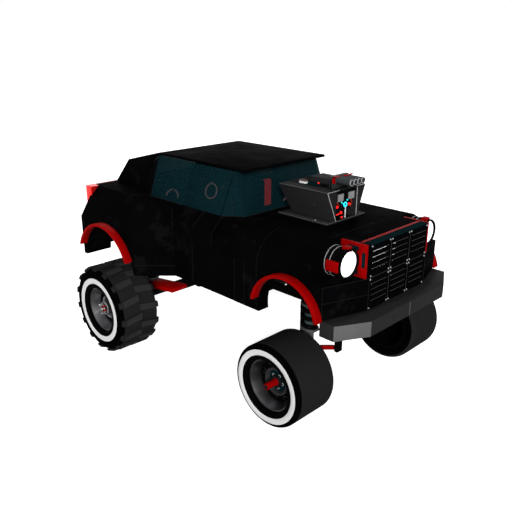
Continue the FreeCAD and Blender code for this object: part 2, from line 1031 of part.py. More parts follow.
def tail_lamps():
    """Return the red strip across the tail and the two corner lamps."""
    strip = block(
        (vehicle_rear_x, tail_x), (-body_half, body_half), (belt_z - frame_bar, belt_z)
    )
    corner = block(
        (vehicle_rear_x, vehicle_rear_x + tail_lamp_length),
        (body_half - frame_bar, body_half + tail_lamp_out),
        (belt_z - tail_lamp_height, belt_z),
    )
    inside = block((tail_x, hip_end_x), (glass_top_half, body_half), (body_floor_z, belt_z))
    corner = largest(corner.cut(inside).cut(hip_bulge(0)))
    return [fused([strip, corner, mirrored(corner)])]


def flare(centre_x, centre_z, radius, skin_y):
    """Return one arch flare: a band around the wheel opening, cut level at its feet."""
    inner_y = skin_y - panel
    outer_y = skin_y + flare_reach
    start = V(centre_x, inner_y, centre_z)
    end = V(centre_x, outer_y, centre_z)
    band = tube(start, end, radius + flare_band, radius)
    sleeve = tube(start, V(centre_x, skin_y, centre_z), radius + flare_band + overrun, radius)
    reach = radius + flare_band + overrun
    upper = block(
        (centre_x - reach, centre_x + reach),
        (inner_y - overrun, outer_y + overrun),
        (flare_bottom_z, centre_z + reach),
    )
    return band.cut(sleeve).common(upper)


# Engine and scoop

def rectangle(x0, x1, half, z):
    """Return a closed rectangular wire at one height."""
    corners = [V(x0, -half, z), V(x1, -half, z), V(x1, half, z), V(x0, half, z)]
    return Part.makePolygon(corners + [corners[0]])


def scoop_foot():
    """Return the plate that the scoop stands on."""
    top = belt_z + scoop_base_thickness
    plate = block(
        (scoop_base_rear_x, scoop_base_front_x), (-scoop_base_half, scoop_base_half), (belt_z, top)
    )
    hole = block(
        (scoop_foot_rear_x + throat_margin, scoop_base_front_x - throat_margin),
        (-scoop_foot_half + throat_margin, scoop_foot_half - throat_margin),
        (belt_z - overrun, top + overrun),
    )
    return plate.cut(hole)


def scoop():
    """Return the flared box around the engine, open at its top and front, with two rear vents."""
    foot_z = belt_z + scoop_base_thickness
    outer = Part.makeLoft(
        [
            rectangle(scoop_foot_rear_x, scoop_base_front_x, scoop_foot_half, foot_z),
            rectangle(scoop_base_rear_x, scoop_top_front_x, scoop_top_half, scoop_top_z),
        ],
        True,
        True,
    )
    inner = Part.makeLoft(
        [
            rectangle(
                scoop_foot_rear_x + scoop_wall,
                scoop_base_front_x + overrun,
                scoop_foot_half - scoop_wall,
                foot_z,
            ),
            rectangle(
                scoop_base_rear_x + scoop_wall,
                scoop_top_front_x + overrun,
                scoop_top_half - scoop_wall,
                scoop_top_z,
            ),
        ],
        True,
        True,
    )
    low = scoop_top_z - vent_drop
    vent = block(
        (scoop_base_rear_x - overrun, scoop_foot_rear_x),
        (vent_inner_y, vent_outer_y),
        (low, low + vent_height),
    )
    return fused([scoop_foot(), outer.cut(inner)] + both(scoop_side())).cut(both(vent))


def scoop_side():
    """Return the left upright wall of the throat, the front web beside it and the top flange."""
    foot_z = belt_z + scoop_base_thickness
    upright = block(
        (scoop_foot_rear_x + scoop_wall, scoop_top_front_x),
        (scoop_foot_half - scoop_wall, scoop_foot_half),
        (foot_z, scoop_top_z),
    )
    corners = [
        (scoop_foot_half, foot_z),
        (scoop_top_half, scoop_top_z),
        (scoop_foot_half, scoop_top_z),
    ]
    web = across(corners, scoop_top_front_x - scoop_wall, scoop_top_front_x)
    flange = block(
        (scoop_base_rear_x + scoop_wall, scoop_top_front_x),
        (scoop_foot_half - scoop_wall, scoop_top_half - scoop_wall),
        (scoop_top_z - scoop_wall, scoop_top_z),
    )
    return fused([upright, web, flange])


def engine():
    """Return the engine block with its feet, and the intake with barrels and pulleys in the scoop."""
    body = block(
        (engine_rear_x, engine_front_x), (-engine_half, engine_half), (engine_bottom_z, engine_top_z)
    )
    intake = block(
        (intake_rear_x, intake_front_x), (-intake_half, intake_half), (engine_top_z, intake_top_z)
    )
    barrel_top = scoop_top_z - barrel_drop
    barrel = block(
        (intake_front_x - overrun, barrel_front_x),
        (barrel_inner_y, barrel_outer_y),
        (barrel_top - barrel_height, barrel_top),
    )
    parts = both(barrel)
    for index in range(pulley_count):
        z = scoop_top_z - pulley_drop - index * pulley_pitch
        front = V(barrel_front_x - index * pulley_width, 0, z)
        parts.append(rod(V(intake_front_x - overrun, 0, z), front, pulley_radius / 2))
        parts.append(rod(front - V(pulley_width, 0, 0), front, pulley_radius))
    foot = block(
        (engine_rear_x + cross_width, engine_rear_x + 2 * cross_width),
        (engine_half - overrun, rail_y + rail_width / 2),
        (rail_top_z, engine_bottom_z + overrun),
    )
    front_foot = foot.copy()
    front_foot.translate(V(engine_front_x - engine_rear_x - 3 * cross_width, 0, 0))
    return fused([body, intake] + both(foot) + both(front_foot) + parts)


def intake_pipes():
    """Return the row of open pipes and the manifold that holds them to the intake."""
    z = scoop_top_z + pipe_rise
    half = pipe_spacing * (pipe_count - 1) / 2 + pipe_radius + manifold_margin
    rear_x = pipe_front_x - pipe_length
    manifold = block(
        (intake_front_x, intake_front_x + manifold_depth),
        (-half, half),
        (scoop_top_z, z + pipe_radius + manifold_margin),
    )
    pipes = [manifold]
    bores = []
    for index in range(pipe_count):
        y = (index - (pipe_count - 1) / 2) * pipe_spacing
        pipes.append(rod(V(rear_x, y, z), V(pipe_front_x, y, z), pipe_radius))
        bores.append(
            rod(V(rear_x + manifold_depth, y, z), V(pipe_front_x + overrun, y, z), pipe_radius - pipe_wall)
        )
    return fused(pipes).cut(bores)


# Frame

def cross_member(x, z_top, height, half):
    """Return a square beam across the frame."""
    return block((x - cross_width / 2, x + cross_width / 2), (-half, half), (z_top - height, z_top))


def shock_tower(x, top_y):
    """Return the left bracket that the shock hangs from."""
    post = block(
        (x - tower_half, x + tower_half),
        (rail_y - rail_width / 2, rail_y + rail_width / 2),
        (rail_top_z - overrun, tower_z),
    )
    plate = block(
        (x - tower_half, x + tower_half),
        (rail_y - rail_width / 2, top_y + strut_radius + overrun),
        (tower_z - tower_plate, tower_z),
    )
    return fused([post, plate])


def tow_eye():
    """Return the upright plate with the tow pin's hole under the frame's rear end."""
    plate = block(
        (tow_eye_x - tow_lug_half, tow_eye_x + tow_lug_half),
        (-tow_plate / 2, tow_plate / 2),
        (rail_bottom_z - tow_drop - tow_lug_half, rail_bottom_z + overrun),
    )
    hole_z = rail_bottom_z - tow_drop
    return plate.cut(rod(V(tow_eye_x, -tow_plate, hole_z), V(tow_eye_x, tow_plate, hole_z), tow_bore))


def chassis():
    """Return the ladder frame with its towers, the front subframe and the body's feet."""
    rail = block(
        (rail_rear_x, rail_front_x),
        (rail_y - rail_width / 2, rail_y + rail_width / 2),
        (rail_bottom_z, rail_top_z),
    )
    pieces = both(rail)
    pieces.append(tow_eye())
    for x in (rail_front_x - cross_width, door_step_x, rear_arm_root_x, tow_eye_x + cross_width / 2):
        pieces.append(cross_member(x, rail_top_z, rail_height, rail_y))
    pieces += both(shock_tower(0, kingpin_y))
    pieces += both(shock_tower(rear_axle_x, rear_shock_y))
    for x in (door_step_x, door_rear_x, rail_rear_x + 2 * cross_width):
        puck = rod(V(x, rail_y, rail_top_z - overrun), V(x, rail_y, floor_z), puck_radius)
        pieces += both(puck)
    bracket = block(
        (hood_front_x - bracket_height, bumper_back_x),
        (rail_y - rail_width / 2, rail_y + rail_width / 2),
        (bumper_bottom_z, bumper_bottom_z + bracket_height),
    )
    lug = block(
        (hood_front_x - bracket_height, rail_front_x),
        (rail_y - rail_width / 2, rail_y + rail_width / 2),
        (rail_top_z - overrun, bumper_bottom_z + bracket_height),
    )
    pieces += both(fused([bracket, lug]))
    for end in (1, -1):
        x = end * (arm_root_x + arm_bar / 2 + seat_gap)
        post = block(
            (x, x + end * subframe_web),
            (arm_root_y - subframe_inset, arm_root_y + arm_bar),
            (arm_top_z - arm_thickness, rail_top_z),
        )
        pieces += both(post)
        pieces.append(
            block(
                (x, x + end * subframe_web),
                (-arm_root_y - subframe_inset, arm_root_y + subframe_inset),
                (rail_bottom_z, rail_top_z),
            )
        )
    hanger = block(
        (rear_arm_root_x - arm_bar / 2, rear_arm_root_x + arm_bar / 2),
        (rail_y - rail_width / 2, rear_arm_root_y - seat_gap),
        (rear_arm_z - rear_arm_thickness / 2, rail_bottom_z + overrun),
    )
    pieces += both(hanger)
    return fused(pieces)


# Front suspension

def front_arm():
    """Return the left front arm: two bars from the frame to the eye under the kingpin."""
    bottom = arm_top_z - arm_thickness
    eye = rod(V(0, kingpin_y, bottom), V(0, kingpin_y, arm_top_z), arm_eye_radius)
    pin_top = arm_top_z + boss_height / 2
    pin = rod(V(0, kingpin_y, bottom), V(0, kingpin_y, pin_top), kingpin_radius)
    pieces = [eye, pin]
    for end in (1, -1):
        root = end * arm_root_x
        tip = end * arm_eye_radius / 2
        pieces.append(
            plan(
                [
                    (root - arm_bar / 2, arm_root_y),
                    (root + arm_bar / 2, arm_root_y),
                    (tip + arm_bar / 2, kingpin_y - arm_eye_radius / 2),
                    (tip - arm_bar / 2, kingpin_y - arm_eye_radius / 2),
                ],
                bottom,
                arm_top_z,
            )
        )
    return fused(pieces)


def knuckle():
    """Return the left steering knuckle with its kingpin boss, spindle and steering arm."""
    boss = rod(V(0, kingpin_y, boss_bottom_z), V(0, kingpin_y, boss_top_z), boss_radius)
    upright = block(
        (-upright_half, upright_half), (upright_inner_y, upright_outer_y), (upright_bottom_z, boss_top_z)
    )
    head = block(
        (-upright_half, upright_half), (kingpin_y, upright_outer_y), (boss_bottom_z, boss_top_z)
    )
    hub_inner_y = front_inner_y + front_width - disc_depth - hub_length
    sleeve = rod(
        V(0, upright_outer_y - overrun, front_radius),
        V(0, hub_inner_y - spindle_seal, front_radius),
        sleeve_radius,
    )
    spindle = rod(
        V(0, upright_outer_y, front_radius),
        V(0, hub_inner_y + spindle_engagement, front_radius),
        spindle_radius,
    )
    arm = block(
        (-steering_arm_length, 0),
        (kingpin_y - steering_arm_width / 2, kingpin_y + steering_arm_width / 2),
        (boss_bottom_z, boss_bottom_z + steering_arm_height),
    )
    eye = rod(
        V(-steering_arm_length, kingpin_y, boss_bottom_z),
        V(-steering_arm_length, kingpin_y, boss_bottom_z + steering_arm_height),
        steering_arm_width / 2,
    )
    pin = rod(
        V(-steering_arm_length, kingpin_y, boss_bottom_z),
        V(-steering_arm_length, kingpin_y, tie_z + boss_gap + tie_eye_height),
        tie_pin_radius,
    )
    bore = rod(
        V(0, kingpin_y, boss_bottom_z - overrun),
        V(0, kingpin_y, boss_top_z + overrun),
        kingpin_radius + bearing_gap,
    )
    return fused([boss, upright, head, sleeve, spindle, arm, eye, pin]).cut(bore)


def tie_rod():
    """Return the rod that joins the two steering arms."""
    bottom = tie_z + boss_gap
    top = bottom + tie_eye_height
    middle = (bottom + top) / 2
    eyes = []
    holes = []
    for side in (1, -1):
        y = side * kingpin_y
        low = V(-steering_arm_length, y, bottom)
        eyes.append(rod(low, V(-steering_arm_length, y, top), tie_eye_radius))
        holes.append(
            rod(
                V(-steering_arm_length, y, bottom - overrun),
                V(-steering_arm_length, y, top + overrun),
                tie_pin_radius + bearing_gap,
            )
        )
    left = V(-steering_arm_length, kingpin_y, middle)
    right = V(-steering_arm_length, -kingpin_y, middle)
    bar = rod(right, left, tie_rod_radius)
    return fused(eyes + [bar]).cut(holes)


def coil(x, y, z0, z1):
    """Return a coil spring wound about an upright line, with a flat ring at each end."""
    wire_radius = spring_wire / 2
    radius = spring_outer - wire_radius
    low = z0 + wire_radius
    height = z1 - z0 - spring_wire
    count = int(spring_turns * spring_steps)
    sections = []
    for index in range(count + 1):
        angle = 2 * math.pi * spring_turns * index / count
        outward = V(math.cos(angle), math.sin(angle), 0)
        centre = V(x, y, low + height * index / count) + V(outward).multiply(radius)
        points = []
        for corner in range(spring_sides):
            turn = 2 * math.pi * corner / spring_sides
            across_wire = V(outward).multiply(wire_radius * math.cos(turn))
            points.append(centre + across_wire + V(0, 0, wire_radius * math.sin(turn)))
        sections.append(Part.makePolygon(points + [points[0]]))
    inner = spring_outer - spring_wire
    ends = [
        tube(V(x, y, z0), V(x, y, z0 + spring_end), spring_outer, inner),
        tube(V(x, y, z1 - spring_end), V(x, y, z1), spring_outer, inner),
    ]
    return fused([Part.makeLoft(sections, True, True)] + ends)


def front_strut():
    """Return the left front shock, standing on the knuckle and held by the tower."""
    foot_z = boss_top_z + boss_gap
    under = tower_z - tower_plate
    body = rod(V(0, kingpin_y, foot_z), V(0, kingpin_y, under), strut_radius)
    seat_z = boss_top_z + spring_foot - strut_seat
    seat = rod(V(0, kingpin_y, seat_z), V(0, kingpin_y, seat_z + strut_seat), strut_seat_radius)
    top = rod(V(0, kingpin_y, under - strut_seat), V(0, kingpin_y, under), strut_seat_radius)
    pin_end = boss_bottom_z + boss_height / 2 + boss_gap
    pin = rod(V(0, kingpin_y, pin_end), V(0, kingpin_y, foot_z + overrun), kingpin_radius)
    return fused([body, seat, top, pin])


def front_spring():
    """Return the left front coil spring."""
    return coil(0, kingpin_y, boss_top_z + spring_foot, tower_z - tower_plate - strut_seat)


def rear_strut():
    """Return the left rear shock, from the arm's perch to the tower."""
    foot_z = rear_arm_z + rear_arm_thickness / 2
    under = tower_z - tower_plate
    foot = V(rear_axle_x, rear_shock_y, foot_z)
    body = rod(foot, V(rear_axle_x, rear_shock_y, under), strut_radius)
    seat = rod(
        V(rear_axle_x, rear_shock_y, foot_z + rear_perch_height),
        V(rear_axle_x, rear_shock_y, foot_z + rear_perch_height + strut_seat),
        strut_seat_radius,
    )
    top = rod(
        V(rear_axle_x, rear_shock_y, under - strut_seat),
        V(rear_axle_x, rear_shock_y, under),
        strut_seat_radius,
    )
    return fused([body, seat, top])


def rear_spring():
    """Return the left rear coil spring."""
    z0 = rear_arm_z + rear_arm_thickness / 2 + rear_perch_height + strut_seat
    return coil(rear_axle_x, rear_shock_y, z0, tower_z - tower_plate - strut_seat)


def rear_arm():
    """Return the left rear arm, from the frame back to the top of the axle."""
    half = arm_bar / 2
    outline = [
        (rear_arm_root_x + half, rear_arm_root_y),
        (rear_arm_root_x - half, rear_arm_root_y),
        (rear_axle_x - strut_seat_radius, rear_shock_y - strut_seat_radius),
        (rear_axle_x - strut_seat_radius, rear_arm_outer_y),
        (rear_axle_x + strut_seat_radius, rear_arm_outer_y),
        (rear_arm_root_x + half, rear_shock_y),
    ]
    bottom = rear_arm_z - rear_arm_thickness / 2
    plate = plan(outline, bottom, rear_arm_z + rear_arm_thickness / 2)
    post = block(
        (rear_axle_x - axle_tube_radius / 2, rear_axle_x + axle_tube_radius / 2),
        (rear_shock_y - strut_radius, rear_shock_y + strut_radius),
        (rear_radius, bottom + overrun),
    )
    tube_cut = rod(
        V(rear_axle_x, 0, rear_radius), V(rear_axle_x, rear_inner_y, rear_radius), axle_tube_radius
    )
    return fused([plate, post]).cut(tube_cut)


def rear_axle():
    """Return the rear axle: round middle housing, tubes and the two spindles."""
    centre = V(rear_axle_x, 0, rear_radius)
    hub_inner_y = rear_inner_y + rear_width - disc_depth - hub_length
    tube_end = hub_inner_y - spindle_seal
    pieces = [
        rod(centre - V(0, tube_end, 0), centre + V(0, tube_end, 0), axle_tube_radius),
        rod(centre - V(0, diff_half, 0), centre + V(0, diff_half, 0), diff_radius),
        rod(centre, centre + V(diff_length, 0, 0), diff_radius / 2),
    ]
    for side in (1, -1):
        shoulder = V(rear_axle_x, side * diff_half, rear_radius)
        pieces.append(
            Part.makeCone(diff_radius, axle_tube_radius + overrun, diff_half, shoulder, V(0, side, 0))
        )
    tip = hub_inner_y + spindle_engagement
    pieces.append(
        rod(V(rear_axle_x, -tip, rear_radius), V(rear_axle_x, tip, rear_radius), spindle_radius)
    )
    return fused(pieces)


# Wheels

def revolved(points, x, z):
    """Return a ring turned about the wheel's axis from (radius, y) points."""
    wire = [V(x, y, z + radius) for radius, y in points]
    return polygon(wire).revolve(V(x, 0, z), ALONG_Y, full_turn)


def ring_points(x, y, z, radius, angles):
    """Return points about a wheel's axis at the given angles, counted from straight down."""
    return [V(x + radius * math.sin(a), y, z - radius * math.cos(a)) for a in angles]


def facet_angles(count):
    """Return the corner angles of a regular outline that lies flat on the ground."""
    step = 2 * math.pi / count
    return [step * (index + 0.5) for index in range(count)]


def facetted(x, z, profile, count):
    """Return a solid with flat facets through (radius, y) pairs, radii measured to the flats."""
    angles = facet_angles(count)
    stretch = 1 / math.cos(math.pi / count)
    rings = [ring_points(x, y, z, radius * stretch, angles) for radius, y in profile]
    faces = [polygon(rings[0]), polygon(rings[-1])]
    for near, far in zip(rings, rings[1:]):
        for index in range(count):
            faces.append(polygon([near[index - 1], near[index], far[index], far[index - 1]]))
    solid = Part.Solid(Part.Shell(faces))
    return solid if solid.Volume > 0 else solid.reversed()


def tyre_bore(x, radius, width, inner_y, count):
    """Return the space inside a tyre: the barrel and the two lip seats."""
    outer_y = inner_y + width
    bead = rim_setback + rim_lip_width
    bore = rim_radius + seat_gap
    seat = rim_lip_radius + seat_gap
    barrel = facetted(x, radius, [(bore, inner_y - overrun), (bore, outer_y + overrun)], count)
    seats = [
        facetted(x, radius, [(seat, inner_y - overrun), (seat, inner_y + bead)], count),
        facetted(x, radius, [(seat, outer_y - bead), (seat, outer_y + overrun)], count),
    ]
    return fused([barrel] + seats)


def front_tyre(x, radius, width, inner_y):
    """Return a left front tyre with cut shoulders and rim seats, on the wheel's axis."""
    outer_y = inner_y + width
    profile = [
        (radius - tyre_shoulder, inner_y),
        (radius, inner_y + tyre_shoulder),
        (radius, outer_y - tyre_shoulder),
        (radius - tyre_shoulder, outer_y),
    ]
    body = facetted(x, radius, profile, front_tyre_facets)
    return body.cut(tyre_bore(x, radius, width, inner_y, front_tyre_facets))


def lug_half(x, radius, y0, y1, first):
    """Return half of the lugged tread as a toothed ring, with one tooth at the first angle."""
    step = 2 * math.pi / lug_count
    root = step * lug_root_share / 2
    top = step * lug_top_share / 2
    base = (radius - lug_height) / math.cos(step / 4)
    crest = radius / math.cos(top)
    points = []
    for index in range(lug_count):
        middle = first + index * step
        for reach, offset in ((base, -root), (crest, -top), (crest, top), (base, root)):
            points += ring_points(x, y0, radius, reach, [middle + offset])
    return polygon(points).extrude(V(0, y1 - y0, 0))


def rear_tyre(x, radius, width, inner_y):
    """Return a left rear tyre with staggered lugs, cut shoulders and rim seats."""
    outer_y = inner_y + width
    middle_y = inner_y + width / 2
    base = radius - lug_height
    profile = [
        (radius - 2 * tyre_shoulder, inner_y),
        (base, inner_y + tyre_shoulder),
        (base, outer_y - tyre_shoulder),
        (radius - 2 * tyre_shoulder, outer_y),
    ]
    count = 2 * lug_count
    body = facetted(x, radius, profile, count)
    halves = [
        lug_half(x, radius, inner_y + lug_setback, middle_y, 0),
        lug_half(x, radius, middle_y, outer_y - lug_setback, math.pi / lug_count),
    ]
    return fused([body] + halves).cut(tyre_bore(x, radius, width, inner_y, count))


def rim(x, radius, width, inner_y):
    """Return a left rim: stepped barrel, dished disc with holes and ring, hub and cap."""
    outer_y = inner_y + width
    low = inner_y + rim_setback
    high = outer_y - rim_setback
    barrel_in = rim_radius - rim_barrel
    first = high - rim_step_width
    second = first - rim_step_width
    face_y = outer_y - disc_depth
    back_y = face_y - disc_thickness
    points = [
        (barrel_in, low),
        (rim_lip_radius, low),
        (rim_lip_radius, low + rim_lip_width - seat_gap),
        (rim_radius, low + rim_lip_width - seat_gap),
        (rim_radius, high - rim_lip_width + seat_gap),
        (rim_lip_radius, high - rim_lip_width + seat_gap),
        (rim_lip_radius, high),
        (barrel_in, high),
        (barrel_in, first),
        (barrel_in - rim_step, first),
        (barrel_in - rim_step, second),
        (barrel_in - 2 * rim_step, second),
        (barrel_in - 2 * rim_step, back_y),
        (barrel_in, back_y),
    ]
    barrel = revolved(points, x, radius)
    hub_y = face_y - hub_length
    disc = rod(V(x, back_y, radius), V(x, face_y, radius), barrel_in - rim_step)
    ring = tube(
        V(x, back_y, radius),
        V(x, face_y + disc_ring_height, radius),
        disc_ring_radius,
        disc_ring_radius - disc_ring_width,
    )
    hub = rod(V(x, hub_y, radius), V(x, face_y + hub_nose, radius), hub_radius)
    cap = rod(V(x, face_y, radius), V(x, face_y + hub_nose + cap_length, radius), cap_radius)
    cutters = [
        rod(
            V(x, hub_y - overrun, radius),
            V(x, hub_y + spindle_engagement + spindle_seal, radius),
            spindle_radius + bearing_gap,
        )
    ]
    step = 2 * math.pi / disc_hole_count
    angles = [index * step for index in range(disc_hole_count)]
    for point in ring_points(x, back_y - overrun, radius, disc_hole_circle, angles):
        cutters.append(rod(point, point + V(0, disc_thickness + 2 * overrun, 0), disc_hole_radius))
    return fused([barrel, disc, ring, hub, cap]).cut(cutters)


# Cabin

def seat():
    """Return the left seat: pedestal, cushion and back."""
    rear = seat_base_x - seat_length / 2
    front = seat_base_x + seat_length / 2
    half = seat_width / 2
    pedestal = block(
        (rear + seat_back_thickness, front - seat_pad),
        (seat_y - pedestal_width / 2, seat_y + pedestal_width / 2),
        (floor_z + floor_thickness, seat_top_z - seat_pad),
    )
    cushion = block((rear, front), (seat_y - half, seat_y + half), (seat_top_z - seat_pad, seat_top_z))
    back = block(
        (rear, rear + seat_back_thickness),
        (seat_y - half, seat_y + half),
        (seat_top_z, seat_top_z + seat_back_height),
    )
    return fused([pedestal, cushion, back])


def dashboard():
    """Return the dashboard behind the cowl."""
    front = cowl_front_x - panel
    return block(
        (front - dash_depth, front),
        (-hood_half, hood_half),
        (belt_z - panel - dash_height, belt_z - panel),
    )


def steering_wheel():
    """Return the driver's steering wheel and column."""
    centre = V(steering_wheel_x, seat_y, steering_wheel_z)
    foot = V(cowl_front_x - panel - dash_depth, seat_y, belt_z - panel - dash_height / 2)
    axis = centre - foot
    ring = Part.makeTorus(steering_wheel_radius, steering_wheel_rim, centre, axis)
    across_wheel = V(0, steering_wheel_radius, 0)
    spoke = rod(centre - across_wheel, centre + across_wheel, steering_wheel_rim / 2)
    return fused([ring, spoke, rod(foot, centre, column_radius)]).cut(dashboard())


# Assembly

os.makedirs("parts", exist_ok=True)

save("chassis_frame", [chassis()])
save("floor_pan", [floor_pan()])
save("hood", [hood()])
save("nose_panel", [nose()])
save("front_fenders", both(hinged_fender()))
save("rockers", both(rocker()))
save("rear_quarters", both(rear_quarter()))
save("tail_panel", [tail()])
save("roof", [roof()])
save("fastback", [fastback()])
save("windshield", windshield())
save("rear_glass", both(quarter_glass()) + [rear_window()])
save("door_left", [door()])
save("door_right", [mirrored(door())])
save("door_glass_left", [door_glass()])
save("door_glass_right", [mirrored(door_glass())])
save("grille", [grille()])
save("grille_surround", grille_surround())
save("headlamps", both(headlamp()))
save("headlamp_lenses", both(headlamp_lens()))
save("tail_lamps", tail_lamps())
save("front_bumper", [bumper()])
front_flare = flare(front_arch_x, front_arch_z, front_arch_radius, body_half)
rear_flare = flare(rear_arch_x, rear_arch_z, rear_arch_radius, hip_half)
save("arch_flares", both(front_flare) + both(rear_flare))
save("hood_scoop", [scoop()])
save("engine", [engine()])
save("intake_pipes", [intake_pipes()])
save("seats", both(seat()))
save("dashboard", [dashboard()])
save("steering_wheel", [steering_wheel()])
save("front_arms", both(front_arm()))
save("rear_arms", both(rear_arm()))
save("shocks", both(front_strut()) + both(rear_strut()))
save("springs", both(front_spring()) + both(rear_spring()))
save("rear_axle", [rear_axle()])
save("knuckle_left", [knuckle()])
save("knuckle_right", [mirrored(knuckle())])
save("tie_rod", [tie_rod()])

front_wheel = (0.0, front_radius, front_width, front_inner_y)
rear_wheel = (rear_axle_x, rear_radius, rear_width, rear_inner_y)
for place, tyre, sizes in (("front", front_tyre, front_wheel), ("rear", rear_tyre, rear_wheel)):
    save("tyre_" + place + "_left", [tyre(*sizes)])
    save("tyre_" + place + "_right", [mirrored(tyre(*sizes))])
    save("rim_" + place + "_left", [rim(*sizes)])
    save("rim_" + place + "_right", [mirrored(rim(*sizes))])
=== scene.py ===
"""Visual model of a lifted monster truck, dressed over its CAD frame.

Lengths are in metres. +X points forward, +Y to the truck's left and +Z up, with the ground at z 0.
"""
import logging
import math
from dataclasses import dataclass
from enum import Enum
from typing import Any, Callable, Iterable, Sequence

import bmesh
import bpy
from mathutils import Matrix, Vector


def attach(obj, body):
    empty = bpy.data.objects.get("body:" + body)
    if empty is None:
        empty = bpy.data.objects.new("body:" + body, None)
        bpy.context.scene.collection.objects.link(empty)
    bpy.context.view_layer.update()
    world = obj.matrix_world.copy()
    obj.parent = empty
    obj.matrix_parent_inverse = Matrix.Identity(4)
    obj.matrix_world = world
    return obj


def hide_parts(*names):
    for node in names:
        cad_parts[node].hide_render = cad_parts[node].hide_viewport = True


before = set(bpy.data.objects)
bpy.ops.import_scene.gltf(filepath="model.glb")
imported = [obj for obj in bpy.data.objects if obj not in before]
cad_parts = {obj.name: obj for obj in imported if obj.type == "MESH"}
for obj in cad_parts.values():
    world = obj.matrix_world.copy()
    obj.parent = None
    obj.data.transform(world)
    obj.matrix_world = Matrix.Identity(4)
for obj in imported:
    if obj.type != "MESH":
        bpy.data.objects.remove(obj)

log = logging.getLogger("monster_truck")
Point = Sequence[float]
Ring = Sequence[tuple[float, float]]
Tree = bpy.types.NodeTree
Node = bpy.types.Node
Socket = bpy.types.NodeSocket
MM = 0.001


class Axis(Enum):
    """The axis that a shape is drawn out along or turned about."""

    X = 0
    Y = 1
    Z = 2


class Side(Enum):
    """The truck's left and right, as the sign of Y."""

    LEFT = 1
    RIGHT = -1

    @property
    def word(self) -> str:
        """The side's name as node and body names use it."""
        return self.name.lower()


VEHICLE = "vehicle"


# Materials

def linear(colour: str, alpha: float = 1.0) -> tuple[float, float, float, float]:
    """Turn an sRGB hex colour into linear light.

    Args:
        colour: Six hex digits after a hash sign.
        alpha: Opacity to carry along.

    Returns:
        Red, green, blue and alpha.
    """
    channels = [int(colour[i : i + 2], 16) / 255 for i in (1, 3, 5)]
    light = [c / 12.92 if c <= 0.04045 else ((c + 0.055) / 1.055) ** 2.4 for c in channels]
    return (light[0], light[1], light[2], alpha)


def add(
    tree: Tree, kind: str, inputs: dict[Any, Any] | None = None, **settings: Any
) -> Node:
    """Add one node with its settings and its values or links.

    Args:
        tree: Tree that the node goes into.
        kind: Node type name.
        inputs: Values, or sockets to link from, by input name or number.
        **settings: Properties of the node.

    Returns:
        The new node.
    """
    node = tree.nodes.new(kind)
    for name, value in settings.items():
        setattr(node, name, value)
    for key, value in (inputs or {}).items():
        if isinstance(value, Socket):
            tree.links.new(value, node.inputs[key])
        else:
            node.inputs[key].default_value = value
    return node


